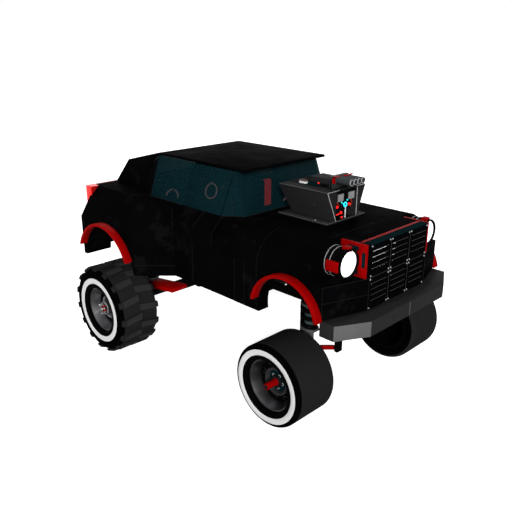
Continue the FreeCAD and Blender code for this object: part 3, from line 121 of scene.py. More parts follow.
@dataclass(frozen=True)
class Finish:
    """A real material, with the sizes of its surface's texture.

    Attributes:
        name: The material's plain name and how it was made.
        colour: Its sRGB hex colour.
        roughness: Middle roughness.
        metallic: 1 for bare metal, 0 otherwise.
        specular: Specular level.
        grain_mm: Size of the texture.
        relief_mm: Height of the texture.
        patch_mm: Size of the patches in which colour and gloss vary.
        patch_share: How far the colour varies between patches.
        gloss_share: How far the roughness varies between patches.
        slot: The record's material slot that it belongs to; not used here.
        wear: sRGB hex colour of what shows where the surface is worn, or nothing.
        wear_mm: Size of the worn spots.
        wear_level: Noise height above which the surface is worn; higher is less.
    """

    name: str
    colour: str
    slot: str
    roughness: float = 0.5
    metallic: float = 0.0
    specular: float = 0.5
    grain_mm: float = 6.0
    relief_mm: float = 0.1
    patch_mm: float = 250.0
    patch_share: float = 0.2
    gloss_share: float = 0.1
    wear: str = ""
    wear_mm: float = 60.0
    wear_level: float = 0.66

    def material(self) -> bpy.types.Material:
        """Build the material once, and return it."""
        found = bpy.data.materials.get(self.name)
        if found:
            return found
        material = bpy.data.materials.new(self.name)
        material.use_nodes = True
        tree = material.node_tree
        tree.nodes.clear()
        place = add(tree, "ShaderNodeTexCoord").outputs["Object"]
        patches = add(
            tree,
            "ShaderNodeTexNoise",
            {"Vector": place, "Scale": 1000 / self.patch_mm, "Detail": 3.0, "Roughness": 0.55},
        ).outputs["Fac"]
        shader = add(
            tree,
            "ShaderNodeBsdfPrincipled",
            {"Metallic": self.metallic, "Specular IOR Level": self.specular},
        )
        tree.links.new(self.colours(tree, place, patches), shader.inputs["Base Color"])
        gloss = add(
            tree,
            "ShaderNodeMapRange",
            {
                "Value": patches,
                "From Min": 0.3,
                "From Max": 0.7,
                "To Min": self.roughness * (1 - self.gloss_share),
                "To Max": min(1.0, self.roughness * (1 + self.gloss_share)),
            },
        )
        tree.links.new(gloss.outputs["Result"], shader.inputs["Roughness"])
        bump = add(
            tree,
            "ShaderNodeBump",
            {"Height": self.relief(tree, place), "Distance": self.relief_mm * MM, "Strength": 1.0},
        )
        tree.links.new(bump.outputs["Normal"], shader.inputs["Normal"])
        self.extra(shader)
        add(tree, "ShaderNodeOutputMaterial", {"Surface": shader.outputs["BSDF"]})
        material.diffuse_color = linear(self.colour)
        return material

    def colours(self, tree: Tree, place: Socket, patches: Socket) -> Socket:
        """Return the colour, lighter and darker in patches."""
        red, green, blue, _ = linear(self.colour)
        low, high = 1 - self.patch_share, 1 + self.patch_share
        mix = add(
            tree,
            "ShaderNodeMix",
            {
                0: patches,
                6: (red * low, green * low, blue * low, 1.0),
                7: (red * high, green * high, blue * high, 1.0),
            },
            data_type="RGBA",
        )
        if not self.wear:
            return mix.outputs[2]
        spots = add(
            tree,
            "ShaderNodeTexNoise",
            {"Vector": place, "Scale": 1000 / self.wear_mm, "Detail": 6.0, "Roughness": 0.65},
        )
        worn = add(
            tree,
            "ShaderNodeMapRange",
            {
                "Value": spots.outputs["Fac"],
                "From Min": self.wear_level,
                "From Max": self.wear_level + 0.04,
            },
        )
        bare = add(
            tree,
            "ShaderNodeMix",
            {0: worn.outputs["Result"], 6: mix.outputs[2], 7: linear(self.wear)},
            data_type="RGBA",
        )
        return bare.outputs[2]

    def relief(self, tree: Tree, place: Socket) -> Socket:
        """Return the surface's height, here the soft waves of sprayed paint."""
        noise = add(
            tree,
            "ShaderNodeTexNoise",
            {"Vector": place, "Scale": 1000 / self.grain_mm, "Detail": 2.0, "Roughness": 0.5},
        )
        return noise.outputs["Fac"]

    def extra(self, shader: Node) -> None:
        """Add what only this kind of material has."""


@dataclass(frozen=True)
class BrushedMetal(Finish):
    """Bare metal with fine scratches that all run one way.

    Attributes:
        along: The axis that the scratches follow.
    """

    along: Axis = Axis.X

    def relief(self, tree: Tree, place: Socket) -> Socket:
        """Return scratches, forty times as long as they are wide."""
        scale = [1000 / self.grain_mm] * 3
        scale[self.along.value] /= 40
        stretched = add(tree, "ShaderNodeMapping", {"Vector": place, "Scale": scale})
        noise = add(
            tree,
            "ShaderNodeTexNoise",
            {"Vector": stretched.outputs["Vector"], "Scale": 1.0, "Detail": 3.0},
        )
        return noise.outputs["Fac"]


@dataclass(frozen=True)
class Rubber(Finish):
    """Moulded tyre rubber, matt, with a dusty bloom."""

    def relief(self, tree: Tree, place: Socket) -> Socket:
        """Return the fine pimples of the mould with wider hollows."""
        fine = add(
            tree,
            "ShaderNodeTexVoronoi",
            {"Vector": place, "Scale": 1000 / self.grain_mm},
            feature="SMOOTH_F1",
        )
        wide = add(
            tree, "ShaderNodeTexNoise", {"Vector": place, "Scale": 1000 / (8 * self.grain_mm)}
        )
        both = add(
            tree, "ShaderNodeMath", {0: fine.outputs["Distance"], 1: wide.outputs["Fac"]}
        )
        return both.outputs["Value"]


@dataclass(frozen=True)
class Leather(Finish):
    """Pebbled upholstery leather."""

    def relief(self, tree: Tree, place: Socket) -> Socket:
        """Return pebbles parted by narrow creases."""
        cells = add(
            tree,
            "ShaderNodeTexVoronoi",
            {"Vector": place, "Scale": 1000 / self.grain_mm},
            feature="DISTANCE_TO_EDGE",
        )
        ramp = add(
            tree,
            "ShaderNodeMapRange",
            {"Value": cells.outputs["Distance"], "From Min": 0.0, "From Max": 0.25},
        )
        return ramp.outputs["Result"]


@dataclass(frozen=True)
class CastMetal(Finish):
    """Sand-cast iron or aluminium with a coarse skin."""

    def relief(self, tree: Tree, place: Socket) -> Socket:
        """Return the rough skin that a sand mould leaves."""
        noise = add(
            tree,
            "ShaderNodeTexNoise",
            {"Vector": place, "Scale": 1000 / self.grain_mm, "Detail": 6.0, "Roughness": 0.7},
        )
        return noise.outputs["Fac"]


@dataclass(frozen=True)
class TintedGlass(Finish):
    """Tinted glazing that the cabin shows through.

    Attributes:
        opacity: Share of the light that the tint holds back.
    """

    opacity: float = 0.8

    def extra(self, shader: Node) -> None:
        """Let part of the light through."""
        shader.inputs["Alpha"].default_value = self.opacity


@dataclass(frozen=True)
class LitSurface(Finish):
    """A surface that gives off light: a moulded lamp lens with light behind it, and also the painted
    glow of parts that are no lamps.

    Attributes:
        glow: sRGB hex colour of the light.
        strength: Strength of the light.
    """

    glow: str = "#ffffff"
    strength: float = 1.0

    def relief(self, tree: Tree, place: Socket) -> Socket:
        """Return the upright flutes of a moulded lens."""
        waves = add(
            tree,
            "ShaderNodeTexWave",
            {"Vector": place, "Scale": 1000 / self.grain_mm / 6, "Distortion": 0.0},
            bands_direction="Y",
        )
        return waves.outputs["Fac"]

    def extra(self, shader: Node) -> None:
        """Light the lens from within."""
        shader.inputs["Emission Color"].default_value = linear(self.glow)
        shader.inputs["Emission Strength"].default_value = self.strength


# Black acrylic enamel, sprayed: near-black, with a faint orange peel of 9 mm, drawn three times
# as coarse as real so that it shows, and slow cloudy patches where it has been polished.
BODY_PAINT = Finish(
    "black_enamel_sprayed", "#050506", "body_black", roughness=0.5, specular=0.0006, grain_mm=9,
    relief_mm=0.05, patch_mm=500, patch_share=0.6, gloss_share=0.25, wear="#0b0b0c", wear_mm=400,
    wear_level=0.56,
)
# Powder-coated steel: as dark and more matt, with a fine pebble of 4 mm and rubbed spots.
FRAME_COAT = Finish(
    "black_powder_coat_baked", "#070708", "frame_black", roughness=0.65, specular=0.002,
    grain_mm=4, relief_mm=0.15, patch_mm=300, patch_share=0.35, wear="#141414", wear_mm=50,
)
# Red powder coat: deep red, satin, with browner patches where it has aged.
RED_COAT = Finish(
    "red_powder_coat_baked", "#8c0101", "trim_red", roughness=0.5, specular=0.02, grain_mm=5,
    relief_mm=0.12, patch_mm=220, patch_share=0.18, wear="#5e0303", wear_mm=45, wear_level=0.68,
)
# Dark teal enamel of the front hubs and small parts in the scoop; beside the lamps and along the
# grille's top edge the same teal sheets are painted shade of recesses.
TEAL_PAINT_AND_SHADE = Finish(
    "teal_enamel_sprayed", "#051a1d", "body_black", roughness=0.5, specular=0.0006, grain_mm=6,
    relief_mm=0.06, patch_mm=120, patch_share=0.25,
)
# Sheet steel with grey primer: flat dark grey with spray mottling and rubbed corners.
SCOOP_PRIMER = Finish(
    "grey_primer_on_sheet_steel", "#212122", "scoop_grey", roughness=0.6, specular=0.01,
    grain_mm=5, relief_mm=0.1, patch_mm=260, patch_share=0.12, wear="#3a3a3b", wear_mm=70,
)
# Pale grey lines along the edges of folded sheet, and on a weld and some rivet heads: painted
# highlights.
EDGE_HIGHLIGHT_GREY = BrushedMetal(
    "worn_steel_edge", "#5f5f61", "scoop_grey", roughness=0.5, specular=0.05, grain_mm=2,
    relief_mm=0.05, patch_mm=60, patch_share=0.35, along=Axis.Z,
)
# The scoop's front edges, drawn as bright lines: painted highlights.
BRIGHT_EDGE_HIGHLIGHT = BrushedMetal(
    "ground_steel_edge", "#a2a2a4", "scoop_grey", roughness=0.4, specular=0.1, grain_mm=2,
    relief_mm=0.05, patch_mm=30, patch_share=0.4, along=Axis.Z,
)
# Thick steel plate with dark grey paint: the bumper, with scuffs a hand wide.
BUMPER_PLATE = Finish(
    "grey_paint_on_steel_plate", "#262627", "bumper_grey", roughness=0.5, specular=0.01,
    grain_mm=7, relief_mm=0.12, patch_mm=180, patch_share=0.12, wear="#39393a", wear_mm=80,
)
# The bumper's angled corners: the same plate in a lighter grey, a painted highlight where these faces
# catch the light.
BUMPER_CORNER_HIGHLIGHT = BrushedMetal(
    "rubbed_steel_plate_lacquered", "#5a5a5b", "bumper_grey", roughness=0.45, specular=0.05,
    grain_mm=3, relief_mm=0.08, patch_mm=140, patch_share=0.12, along=Axis.Y,
)
# Tinted polycarbonate canopy: dark teal and smooth, with very slow waves of the sheet.
CANOPY = TintedGlass(
    "teal_tinted_polycarbonate", "#0a2125", "canopy_glass", roughness=0.22, specular=0.0006,
    grain_mm=400, relief_mm=0.02, patch_mm=900, patch_share=0.1, opacity=0.8,
)
# Frosted lamp glass with white light behind it.
HEADLAMP_GLASS = LitSurface(
    "fluted_headlamp_glass_lit", "#f4f4f4", "lamp_lens", roughness=0.3, grain_mm=18,
    relief_mm=0.3, patch_share=0.02, glow="#ffffff", strength=1.3,
)
# The lamp glass's moulded edge, where the light turns warm and weak.
LAMP_EDGE = LitSurface(
    "headlamp_glass_edge_warm", "#c9bdb6", "lamp_lens", roughness=0.4, grain_mm=18,
    relief_mm=0.3, patch_share=0.05, glow="#fff1e6", strength=0.5,
)
# Red acrylic lamp lens with light behind it.
TAIL_LENS = LitSurface(
    "red_acrylic_lens_lit", "#c01414", "tail_red", roughness=0.3, grain_mm=12, relief_mm=0.4,
    patch_share=0.05, glow="#ff1c1c", strength=0.7,
)
# Unlit part of the red tail strip.
TAIL_STRIP = LitSurface(
    "red_acrylic_strip_dim", "#8e0606", "tail_red", roughness=0.3, grain_mm=12, relief_mm=0.3,
    patch_share=0.1, glow="#a00808", strength=0.2,
)
# Tyre rubber, moulded: dark grey and matt, with 3 mm pimples and a dusty bloom.
TREAD_RUBBER = Rubber(
    "black_tyre_rubber_moulded", "#202021", "tyre_rubber", roughness=0.85, specular=0.006,
    grain_mm=3, relief_mm=0.12, patch_mm=120, patch_share=0.1, wear="#29282a", wear_mm=90,
)
# The lugs' crests, paler rubber: painted light for the lit tops of the bars, with random worn spots.
LUG_CREST_PAINTED_LIGHT = Rubber(
    "tyre_rubber_road_worn", "#2c2c2d", "tyre_rubber", roughness=0.85, specular=0.01,
    grain_mm=3, relief_mm=0.15, patch_mm=70, patch_share=0.12, wear="#3a3938", wear_mm=60,
)
# The sidewall's own rubber, dressed black.
SIDEWALL_RUBBER = Rubber(
    "black_sidewall_rubber_dressed", "#030303", "tyre_rubber", roughness=0.6, specular=0.0006,
    grain_mm=4, relief_mm=0.06, patch_mm=160, patch_share=0.3,
)
# White rubber ring, chalky, with a little road dust.
WHITEWALL = Rubber(
    "white_sidewall_rubber", "#cfcfce", "tyre_rubber", roughness=0.75, specular=0.05, grain_mm=4,
    relief_mm=0.06, patch_mm=140, patch_share=0.04, wear="#bdbcba", wear_mm=50, wear_level=0.7,
)
# Gloss black enamel on the spun rim's lip and disc.
RIM_ENAMEL = Finish(
    "black_gloss_enamel_on_steel", "#050506", "rim_black", roughness=0.3, specular=0.002,
    grain_mm=10, relief_mm=0.03, patch_mm=200, patch_share=0.3,
)
# Spun steel barrel of the rim, dark and polished round its axis.
RIM_BARREL = BrushedMetal(
    "spun_steel_barrel_polished", "#565658", "rim_black", roughness=0.31, metallic=1.0,
    grain_mm=3, relief_mm=0.02, patch_mm=120, patch_share=0.12, along=Axis.Y,
)
# Chromium plate on steel: the rear rims' hats, hubs and spinners, and one bolt on the scoop.
CHROME = BrushedMetal(
    "chrome_plate_polished", "#8a8b8d", "shock_steel", roughness=0.25, metallic=1.0, grain_mm=3,
    relief_mm=0.01, patch_mm=80, patch_share=0.08, along=Axis.Y,
)
# Ground steel of the shock bodies and rods.
SHOCK_STEEL = BrushedMetal(
    "shock_tube_ground_steel", "#5a5b5d", "shock_steel", roughness=0.4, metallic=0.5, grain_mm=2,
    relief_mm=0.03, patch_mm=100, patch_share=0.15, along=Axis.X,
)
# Oiled black spring steel.
SPRING_STEEL = Finish(
    "spring_steel_oiled_black", "#060606", "spring_black", roughness=0.4, specular=0.01,
    grain_mm=4, relief_mm=0.05, patch_mm=90, patch_share=0.3, wear="#1c1a19", wear_mm=30,
)
# Forged and blackened steel of knuckles and axle.
FORGED_STEEL = CastMetal(
    "forged_steel_scaled", "#171718", "forged_steel", roughness=0.6, metallic=0.5, grain_mm=6,
    relief_mm=0.35, patch_mm=120, patch_share=0.3, wear="#3b2c24", wear_mm=40, wear_level=0.64,
    specular=0.01,
)
# Cast iron of the engine, painted black and oily.
ENGINE_IRON = CastMetal(
    "cast_iron_black_painted", "#070708", "engine_iron", roughness=0.6, specular=0.004, grain_mm=5,
    relief_mm=0.4, patch_mm=110, patch_share=0.4, wear="#242120", wear_mm=35,
)
# Cast aluminium of the intake's housings, pale grey; the same grey makes the rings round the headlamp
# cans, which are painted highlights.
ALUMINIUM_AND_HIGHLIGHT_GREY = CastMetal(
    "cast_aluminium_bead_blasted", "#8a8b8c", "engine_iron", roughness=0.55, specular=0.05,
    grain_mm=3, relief_mm=0.2, patch_mm=90, patch_share=0.12,
)
# Brushed steel of the pipes.
PIPE_STEEL = BrushedMetal(
    "brushed_steel_pipe", "#2f3233", "pipe_steel", roughness=0.4, specular=0.04, grain_mm=2,
    relief_mm=0.03, patch_mm=100, patch_share=0.2, along=Axis.X,
)
# Seat cover leather with 5 mm pebbles.
SEAT_LEATHER = Leather(
    "black_upholstery_leather", "#171718", "seat_cover", roughness=0.6, specular=0.05, grain_mm=5,
    relief_mm=0.5, patch_mm=160, patch_share=0.25,
)
# Red vinyl of the seats' middle stripe, given a painted glow so that it stays bright though it is no
# lamp.
RED_VINYL_PAINTED_GLOW = LitSurface(
    "red_vinyl_self_lit", "#c81a1c", "seat_cover", roughness=0.55, grain_mm=5, relief_mm=0.2,
    patch_share=0.06, glow="#ff3a3e", strength=2.4,
)
# Textured ABS of the dashboard and linings.
CABIN_PLASTIC = Leather(
    "textured_abs_moulded", "#1b1b1c", "cabin_plastic", roughness=0.65, specular=0.03, grain_mm=3,
    relief_mm=0.2, patch_mm=200, patch_share=0.15,
)
# Pale rose ABS of the steering wheel's and loudspeakers' rings, given a painted glow though they are no
# lamps.
PALE_PLASTIC_PAINTED_GLOW = LitSurface(
    "pale_rose_abs_self_lit", "#c9a6aa", "cabin_plastic", roughness=0.5, grain_mm=3,
    relief_mm=0.1, patch_share=0.06, glow="#d7a9ae", strength=1.6,
)
# Cyan indicator glow inside the scoop.
CYAN_GLOW = LitSurface(
    "cyan_lamp_acrylic_lit", "#0fb7bd", "lamp_lens", roughness=0.3, grain_mm=10, relief_mm=0.1,
    patch_share=0.05, glow="#27f2ff", strength=1.0,
)
# Red indicator glow inside the scoop.
RED_GLOW = LitSurface(
    "red_lamp_acrylic_lit", "#c81010", "tail_red", roughness=0.3, grain_mm=10, relief_mm=0.1,
    patch_share=0.05, glow="#ff1616", strength=0.8,
)
# White glazed ceramic of the caps on the scoop; the belt guard's beads are the same white, painted
# glints of a polished chain.
WHITE_CAPS_AND_GLINTS = Finish(
    "white_glazed_ceramic", "#e4e4e4", "engine_iron", roughness=0.25, specular=0.5, grain_mm=4,
    relief_mm=0.05, patch_mm=20, patch_share=0.05,
)
# Weld beads on the body, a shade lighter than the paint.
WELD = Finish(
    "weld_bead_painted", "#19191a", "body_black", roughness=0.6, specular=0.01, grain_mm=4,
    relief_mm=0.3, patch_mm=40, patch_share=0.4,
)
# Black chassis lacquer on the pressed grille, matt and a little dusty.
GRILLE_COAT = Finish(
    "black_lacquer_on_pressed_steel", "#050506", "body_black", roughness=0.6, specular=0.0006,
    grain_mm=4, relief_mm=0.12, patch_mm=120, patch_share=0.35, wear="#121213", wear_mm=30,
)
# The slots' rolled lips, a lighter grey than the lacquer.
LOUVRE_LIP = BrushedMetal(
    "rolled_steel_lip_rubbed", "#343435", "body_black", roughness=0.5, specular=0.02, grain_mm=2,
    relief_mm=0.05, patch_mm=25, patch_share=0.4, along=Axis.Y,
)
# Zinc-plated steel of small bolts, nut rings and pipe lips, pale and dull.
BOLT_STEEL = CastMetal(
    "zinc_plated_steel_dull", "#8d8e90", "shock_steel", roughness=0.45, specular=0.4, grain_mm=3,
    relief_mm=0.05, patch_mm=15, patch_share=0.2,
)
# Copper pipe with brown patina, inside the scoop.
COPPER_PIPE = BrushedMetal(
    "copper_pipe_aged", "#7a2b10", "pipe_steel", roughness=0.4, specular=0.05, grain_mm=2,
    relief_mm=0.05, patch_mm=30, patch_share=0.3, along=Axis.Z,
)
# Brown insulating varnish on a small cover.
BROWN_VARNISH = Finish(
    "brown_insulating_varnish", "#3a1d16", "pipe_steel", roughness=0.45, specular=0.03, grain_mm=4,
    relief_mm=0.1, patch_mm=40, patch_share=0.3,
)
# Spun steel of the front rims' hats, dark grey.
HAT_STEEL = BrushedMetal(
    "spun_steel_hat_grey", "#323234", "rim_black", roughness=0.4, metallic=0.3, specular=0.03,
    grain_mm=3, relief_mm=0.02, patch_mm=60, patch_share=0.15, along=Axis.Y,
)
# Polished steps of the rear rims' barrels.
REAR_BARREL = BrushedMetal(
    "spun_steel_steps_polished", "#6a6a6c", "rim_black", roughness=0.31, metallic=0.9,
    grain_mm=3, relief_mm=0.02, patch_mm=120, patch_share=0.12, along=Axis.Y,
)
# Teal-grey paint of the shock sleeves, chipped pale.
SLEEVE_PAINT = Finish(
    "teal_grey_paint_on_tube", "#3a4647", "shock_steel", roughness=0.45, specular=0.05, grain_mm=5,
    relief_mm=0.05, patch_mm=60, patch_share=0.12, wear="#7c7f80", wear_mm=25,
)
# Clear teal acrylic of the braces behind the panes.
GUSSET = TintedGlass(
    "teal_acrylic_brace_clear", "#24525a", "canopy_glass", roughness=0.3, specular=0.0006,
    grain_mm=300, relief_mm=0.02, patch_mm=400, patch_share=0.1, opacity=0.22,
)
# Pale rose ABS of the harness's eyes, given a weak painted glow.
HARNESS_EYE_PAINTED_GLOW = LitSurface(
    "pale_rose_trim_self_lit", "#a98f92", "cabin_plastic", roughness=0.6, grain_mm=3,
    relief_mm=0.1, patch_share=0.3, glow="#c9a9ac", strength=0.35,
)


# Shapes

CAD_MERGE = 0.02 * MM
MERGE = 0.01 * MM
FLAT_DEGREES = 0.6
SMOOTH_DEGREES = 35.0


class Shape:
    """A mesh in the making, placed where the finished piece stands."""

    def __init__(self) -> None:
        """Start with no faces."""
        self.mesh = bmesh.new()
        self.ink = 0

    def add_faces(self, points: Iterable[Point], polygons: Iterable[Sequence[int]]) -> None:
        """Add faces by the numbers of their points."""
        verts = [self.mesh.verts.new(point) for point in points]
        for polygon in polygons:
            face = self.mesh.faces.new([verts[i] for i in polygon])
            face.material_index = self.ink

    def loft(self, rings: Sequence[Sequence[Point]], caps: bool = True) -> None:
        """Join closed rings of the same count into one skin.

        Args:
            rings: The rings' points, in order.
            caps: Whether the first and last ring are closed with a face.
        """
        count = len(rings[0])
        points = [point for ring in rings for point in ring]
        polygons: list[Sequence[int]] = []
        for row in range(len(rings) - 1):
            for i in range(count):
                j = (i + 1) % count
                a, b = row * count, (row + 1) * count
                polygons.append((a + i, a + j, b + j, b + i))
        if caps:
            polygons.append(list(range(count))[::-1])
            last = (len(rings) - 1) * count
            polygons.append(list(range(last, last + count)))
        self.add_faces(points, polygons)

    def box(self, low: Point, high: Point) -> None:
        """Add a box between two corners."""
        foot = [(low[0], low[1]), (high[0], low[1]), (high[0], high[1]), (low[0], high[1])]
        self.prism(foot, Axis.Z, low[2], high[2])

    def prism(self, outline: Ring, axis: Axis, low: float, high: float) -> None:
        """Draw an outline out along an axis.

        Args:
            outline: Points in the two other axes, in the order X, Y, Z.
            axis: Direction to draw along.
            low: Where it starts.
            high: Where it ends.
        """
        rings = []
        for level in (low, high):
            ring = []
            for u, v in outline:
                point = [u, v]
                point.insert(axis.value, level)
                ring.append(point)
            rings.append(ring)
        self.loft(rings)

    def lathe(
        self,
        profile: Ring,
        centre: Point,
        axis: Axis,
        steps: int,
        closed: bool = True,
        sign: int = 1,
    ) -> None:
        """Turn a profile about an axis.

        Args:
            profile: Radius and height pairs; a radius of 0 closes the shape in a point.
            centre: Point on the axis that heights are counted from.
            axis: The axis.
            steps: Faces in one turn.
            closed: Whether the profile's end joins its start.
            sign: 1 if heights rise with the axis, -1 if against it.
        """
        others = [i for i in range(3) if i != axis.value]
        rows: list[list[int]] = []
        points: list[list[float]] = []
        for radius, height in profile:
            row = []
            for step in range(steps if radius > 1e-9 else 1):
                angle = 2 * math.pi * step / steps
                point = [0.0, 0.0, 0.0]
                point[axis.value] = centre[axis.value] + sign * height
                point[others[0]] = centre[others[0]] + radius * math.cos(angle)
                point[others[1]] = centre[others[1]] + radius * math.sin(angle)
                row.append(len(points))
                points.append(point)
            rows.append(row)
        if closed:
            rows.append(rows[0])
        polygons: list[Sequence[int]] = []
        for low, high in zip(rows, rows[1:]):
            for i in range(steps):
                j = (i + 1) % steps
                corners = [row[k % len(row)] for row, k in ((low, i), (low, j), (high, j), (high, i))]
                corners = list(dict.fromkeys(corners))
                if len(corners) > 2:
                    polygons.append(corners)
        self.add_faces(points, polygons)

    def tube(self, path: Sequence[Point], radius: float, sides: int = 12) -> None:
        """Sweep a round bar along a path of points."""
        points = [Vector(point) for point in path]
        rings = []
        normal = None
        for i, point in enumerate(points):
            ahead = points[min(i + 1, len(points) - 1)] - points[max(i - 1, 0)]
            ahead.normalize()
            if normal is None:
                normal = ahead.orthogonal().normalized()
            normal = (normal - ahead * normal.dot(ahead)).normalized()
            side = ahead.cross(normal)
            ring = []
            for step in range(sides):
                angle = 2 * math.pi * step / sides
                ring.append(point + (normal * math.cos(angle) + side * math.sin(angle)) * radius)
            rings.append(ring)
        self.loft(rings)

    def copy(self, *nodes: str) -> None:
        """Add merged copies of CAD nodes, with their flat faces made whole."""
        for node in nodes:
            copied = bmesh.new()
            copied.from_mesh(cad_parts[node].data)
            bmesh.ops.remove_doubles(copied, verts=copied.verts, dist=CAD_MERGE)
            bmesh.ops.dissolve_limit(
                copied, angle_limit=math.radians(FLAT_DEGREES), verts=copied.verts, edges=copied.edges
            )
            whole = bpy.data.meshes.new("copied")
            copied.to_mesh(whole)
            copied.free()
            before = len(self.mesh.faces)
            self.mesh.from_mesh(whole)
            bpy.data.meshes.remove(whole)
            self.mesh.faces.ensure_lookup_table()
            for face in self.mesh.faces[before:]:
                face.material_index = self.ink

    def mirror(self) -> None:
        """Add the same faces on the other side of the truck."""
        geometry = self.mesh.verts[:] + self.mesh.edges[:] + self.mesh.faces[:]
        made = bmesh.ops.duplicate(self.mesh, geom=geometry)
        verts = [item for item in made["geom"] if isinstance(item, bmesh.types.BMVert)]
        faces = [item for item in made["geom"] if isinstance(item, bmesh.types.BMFace)]
        bmesh.ops.transform(self.mesh, matrix=Matrix.Diagonal((1, -1, 1, 1)), verts=verts)
        bmesh.ops.reverse_faces(self.mesh, faces=faces)

    def move(self, matrix: Matrix) -> None:
        """Move or turn all faces."""
        bmesh.ops.transform(self.mesh, matrix=matrix, verts=self.mesh.verts)

    def split(self, point: Point, normal: Point) -> None:
        """Cut the faces along a plane, so that each side can have its own finish."""
        geometry = self.mesh.verts[:] + self.mesh.edges[:] + self.mesh.faces[:]
        bmesh.ops.bisect_plane(self.mesh, geom=geometry, plane_co=point, plane_no=normal)

    def paint(self, ink: int, where: Callable[[Vector, Vector], bool]) -> None:
        """Give another finish to some faces.

        Args:
            ink: Number of the finish.
            where: Says by a face's middle and normal whether it is meant.
        """
        self.mesh.normal_update()
        for face in self.mesh.faces:
            if where(face.calc_center_median(), face.normal):
                face.material_index = ink

    def ring(
        self, centre: Point, radius: float, thickness: float, axis: Axis = Axis.X, steps: int = 40
    ) -> None:
        """Add a round ring of round section about an axis."""
        profile = []
        for step in range(8):
            angle = 2 * math.pi * step / 8
            profile.append((radius + thickness * math.cos(angle), thickness * math.sin(angle)))
        self.lathe(profile, centre, axis, steps)

    def ball(self, centre: Point, radius: float) -> None:
        """Add a small ball."""
        turns = [math.pi * i / 6 for i in range(7)]
        profile = [(radius * math.sin(turn), radius * math.cos(turn)) for turn in turns]
        profile[0], profile[-1] = (0.0, radius), (0.0, -radius)
        self.lathe(profile, centre, Axis.Z, 12, closed=False)

    def bevel(self, width: float, segments: int = 2, angle: float = 30.0) -> None:
        """Round the edges that are sharper than an angle in degrees."""
        limit = math.radians(angle)
        sharp = [
            edge
            for edge in self.mesh.edges
            if len(edge.link_faces) == 2 and edge.calc_face_angle(0.0) > limit
        ]
        bmesh.ops.bevel(
            self.mesh, geom=sharp, offset=width, segments=segments, profile=0.5, affect="EDGES",
            clamp_overlap=True,
        )

    def data(self, name: str, smooth: float = SMOOTH_DEGREES) -> bpy.types.Mesh:
        """Return the finished mesh and let the working copy go.

        Args:
            name: The mesh's name.
            smooth: Faces that meet at less than this angle are shaded as one.
        """
        bmesh.ops.remove_doubles(self.mesh, verts=self.mesh.verts, dist=MERGE)
        bmesh.ops.recalc_face_normals(self.mesh, faces=self.mesh.faces)
        made = bpy.data.meshes.new(name)
        self.mesh.to_mesh(made)
        self.mesh.free()
        made.polygons.foreach_set("use_smooth", [True] * len(made.polygons))
        made.set_sharp_from_angle(angle=math.radians(smooth))
        return made

    def place(
        self,
        name: str,
        *finishes: Finish,
        body: str = VEHICLE,
        replaces: Sequence[str] = (),
        smooth: float = SMOOTH_DEGREES,
    ) -> bpy.types.Object:
        """Turn the shape into a finished piece of the truck.

        Args:
            name: The piece's name.
            *finishes: Its materials, by the number that the faces carry.
            body: The CAD body that it rides on.
            replaces: CAD nodes that it stands for.
            smooth: Angle under which neighbouring faces are shaded as one.

        Returns:
            The new object.
        """
        return settle(name, self.data(name, smooth), finishes, body, replaces)


def plain_mesh(thing: bpy.types.Object) -> bpy.types.Mesh:
    """Return a new mesh of an object as its modifiers leave it."""
    graph = bpy.context.evaluated_depsgraph_get()
    return bpy.data.meshes.new_from_object(thing.evaluated_get(graph))


def settle(
    name: str,
    mesh: bpy.types.Mesh,
    finishes: Sequence[Finish],
    body: str = VEHICLE,
    replaces: Sequence[str] = (),
) -> bpy.types.Object:
    """Make an object of a mesh, dress it and let it ride on its body."""
    if not mesh.materials:
        for finish in finishes:
            mesh.materials.append(finish.material())
    piece = bpy.data.objects.new(name, mesh)
    bpy.context.scene.collection.objects.link(piece)
    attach(piece, body)
    if replaces:
        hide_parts(*replaces)
    log.info("%s: %d faces on %s", name, len(mesh.polygons), body)
    return piece


# Patterns

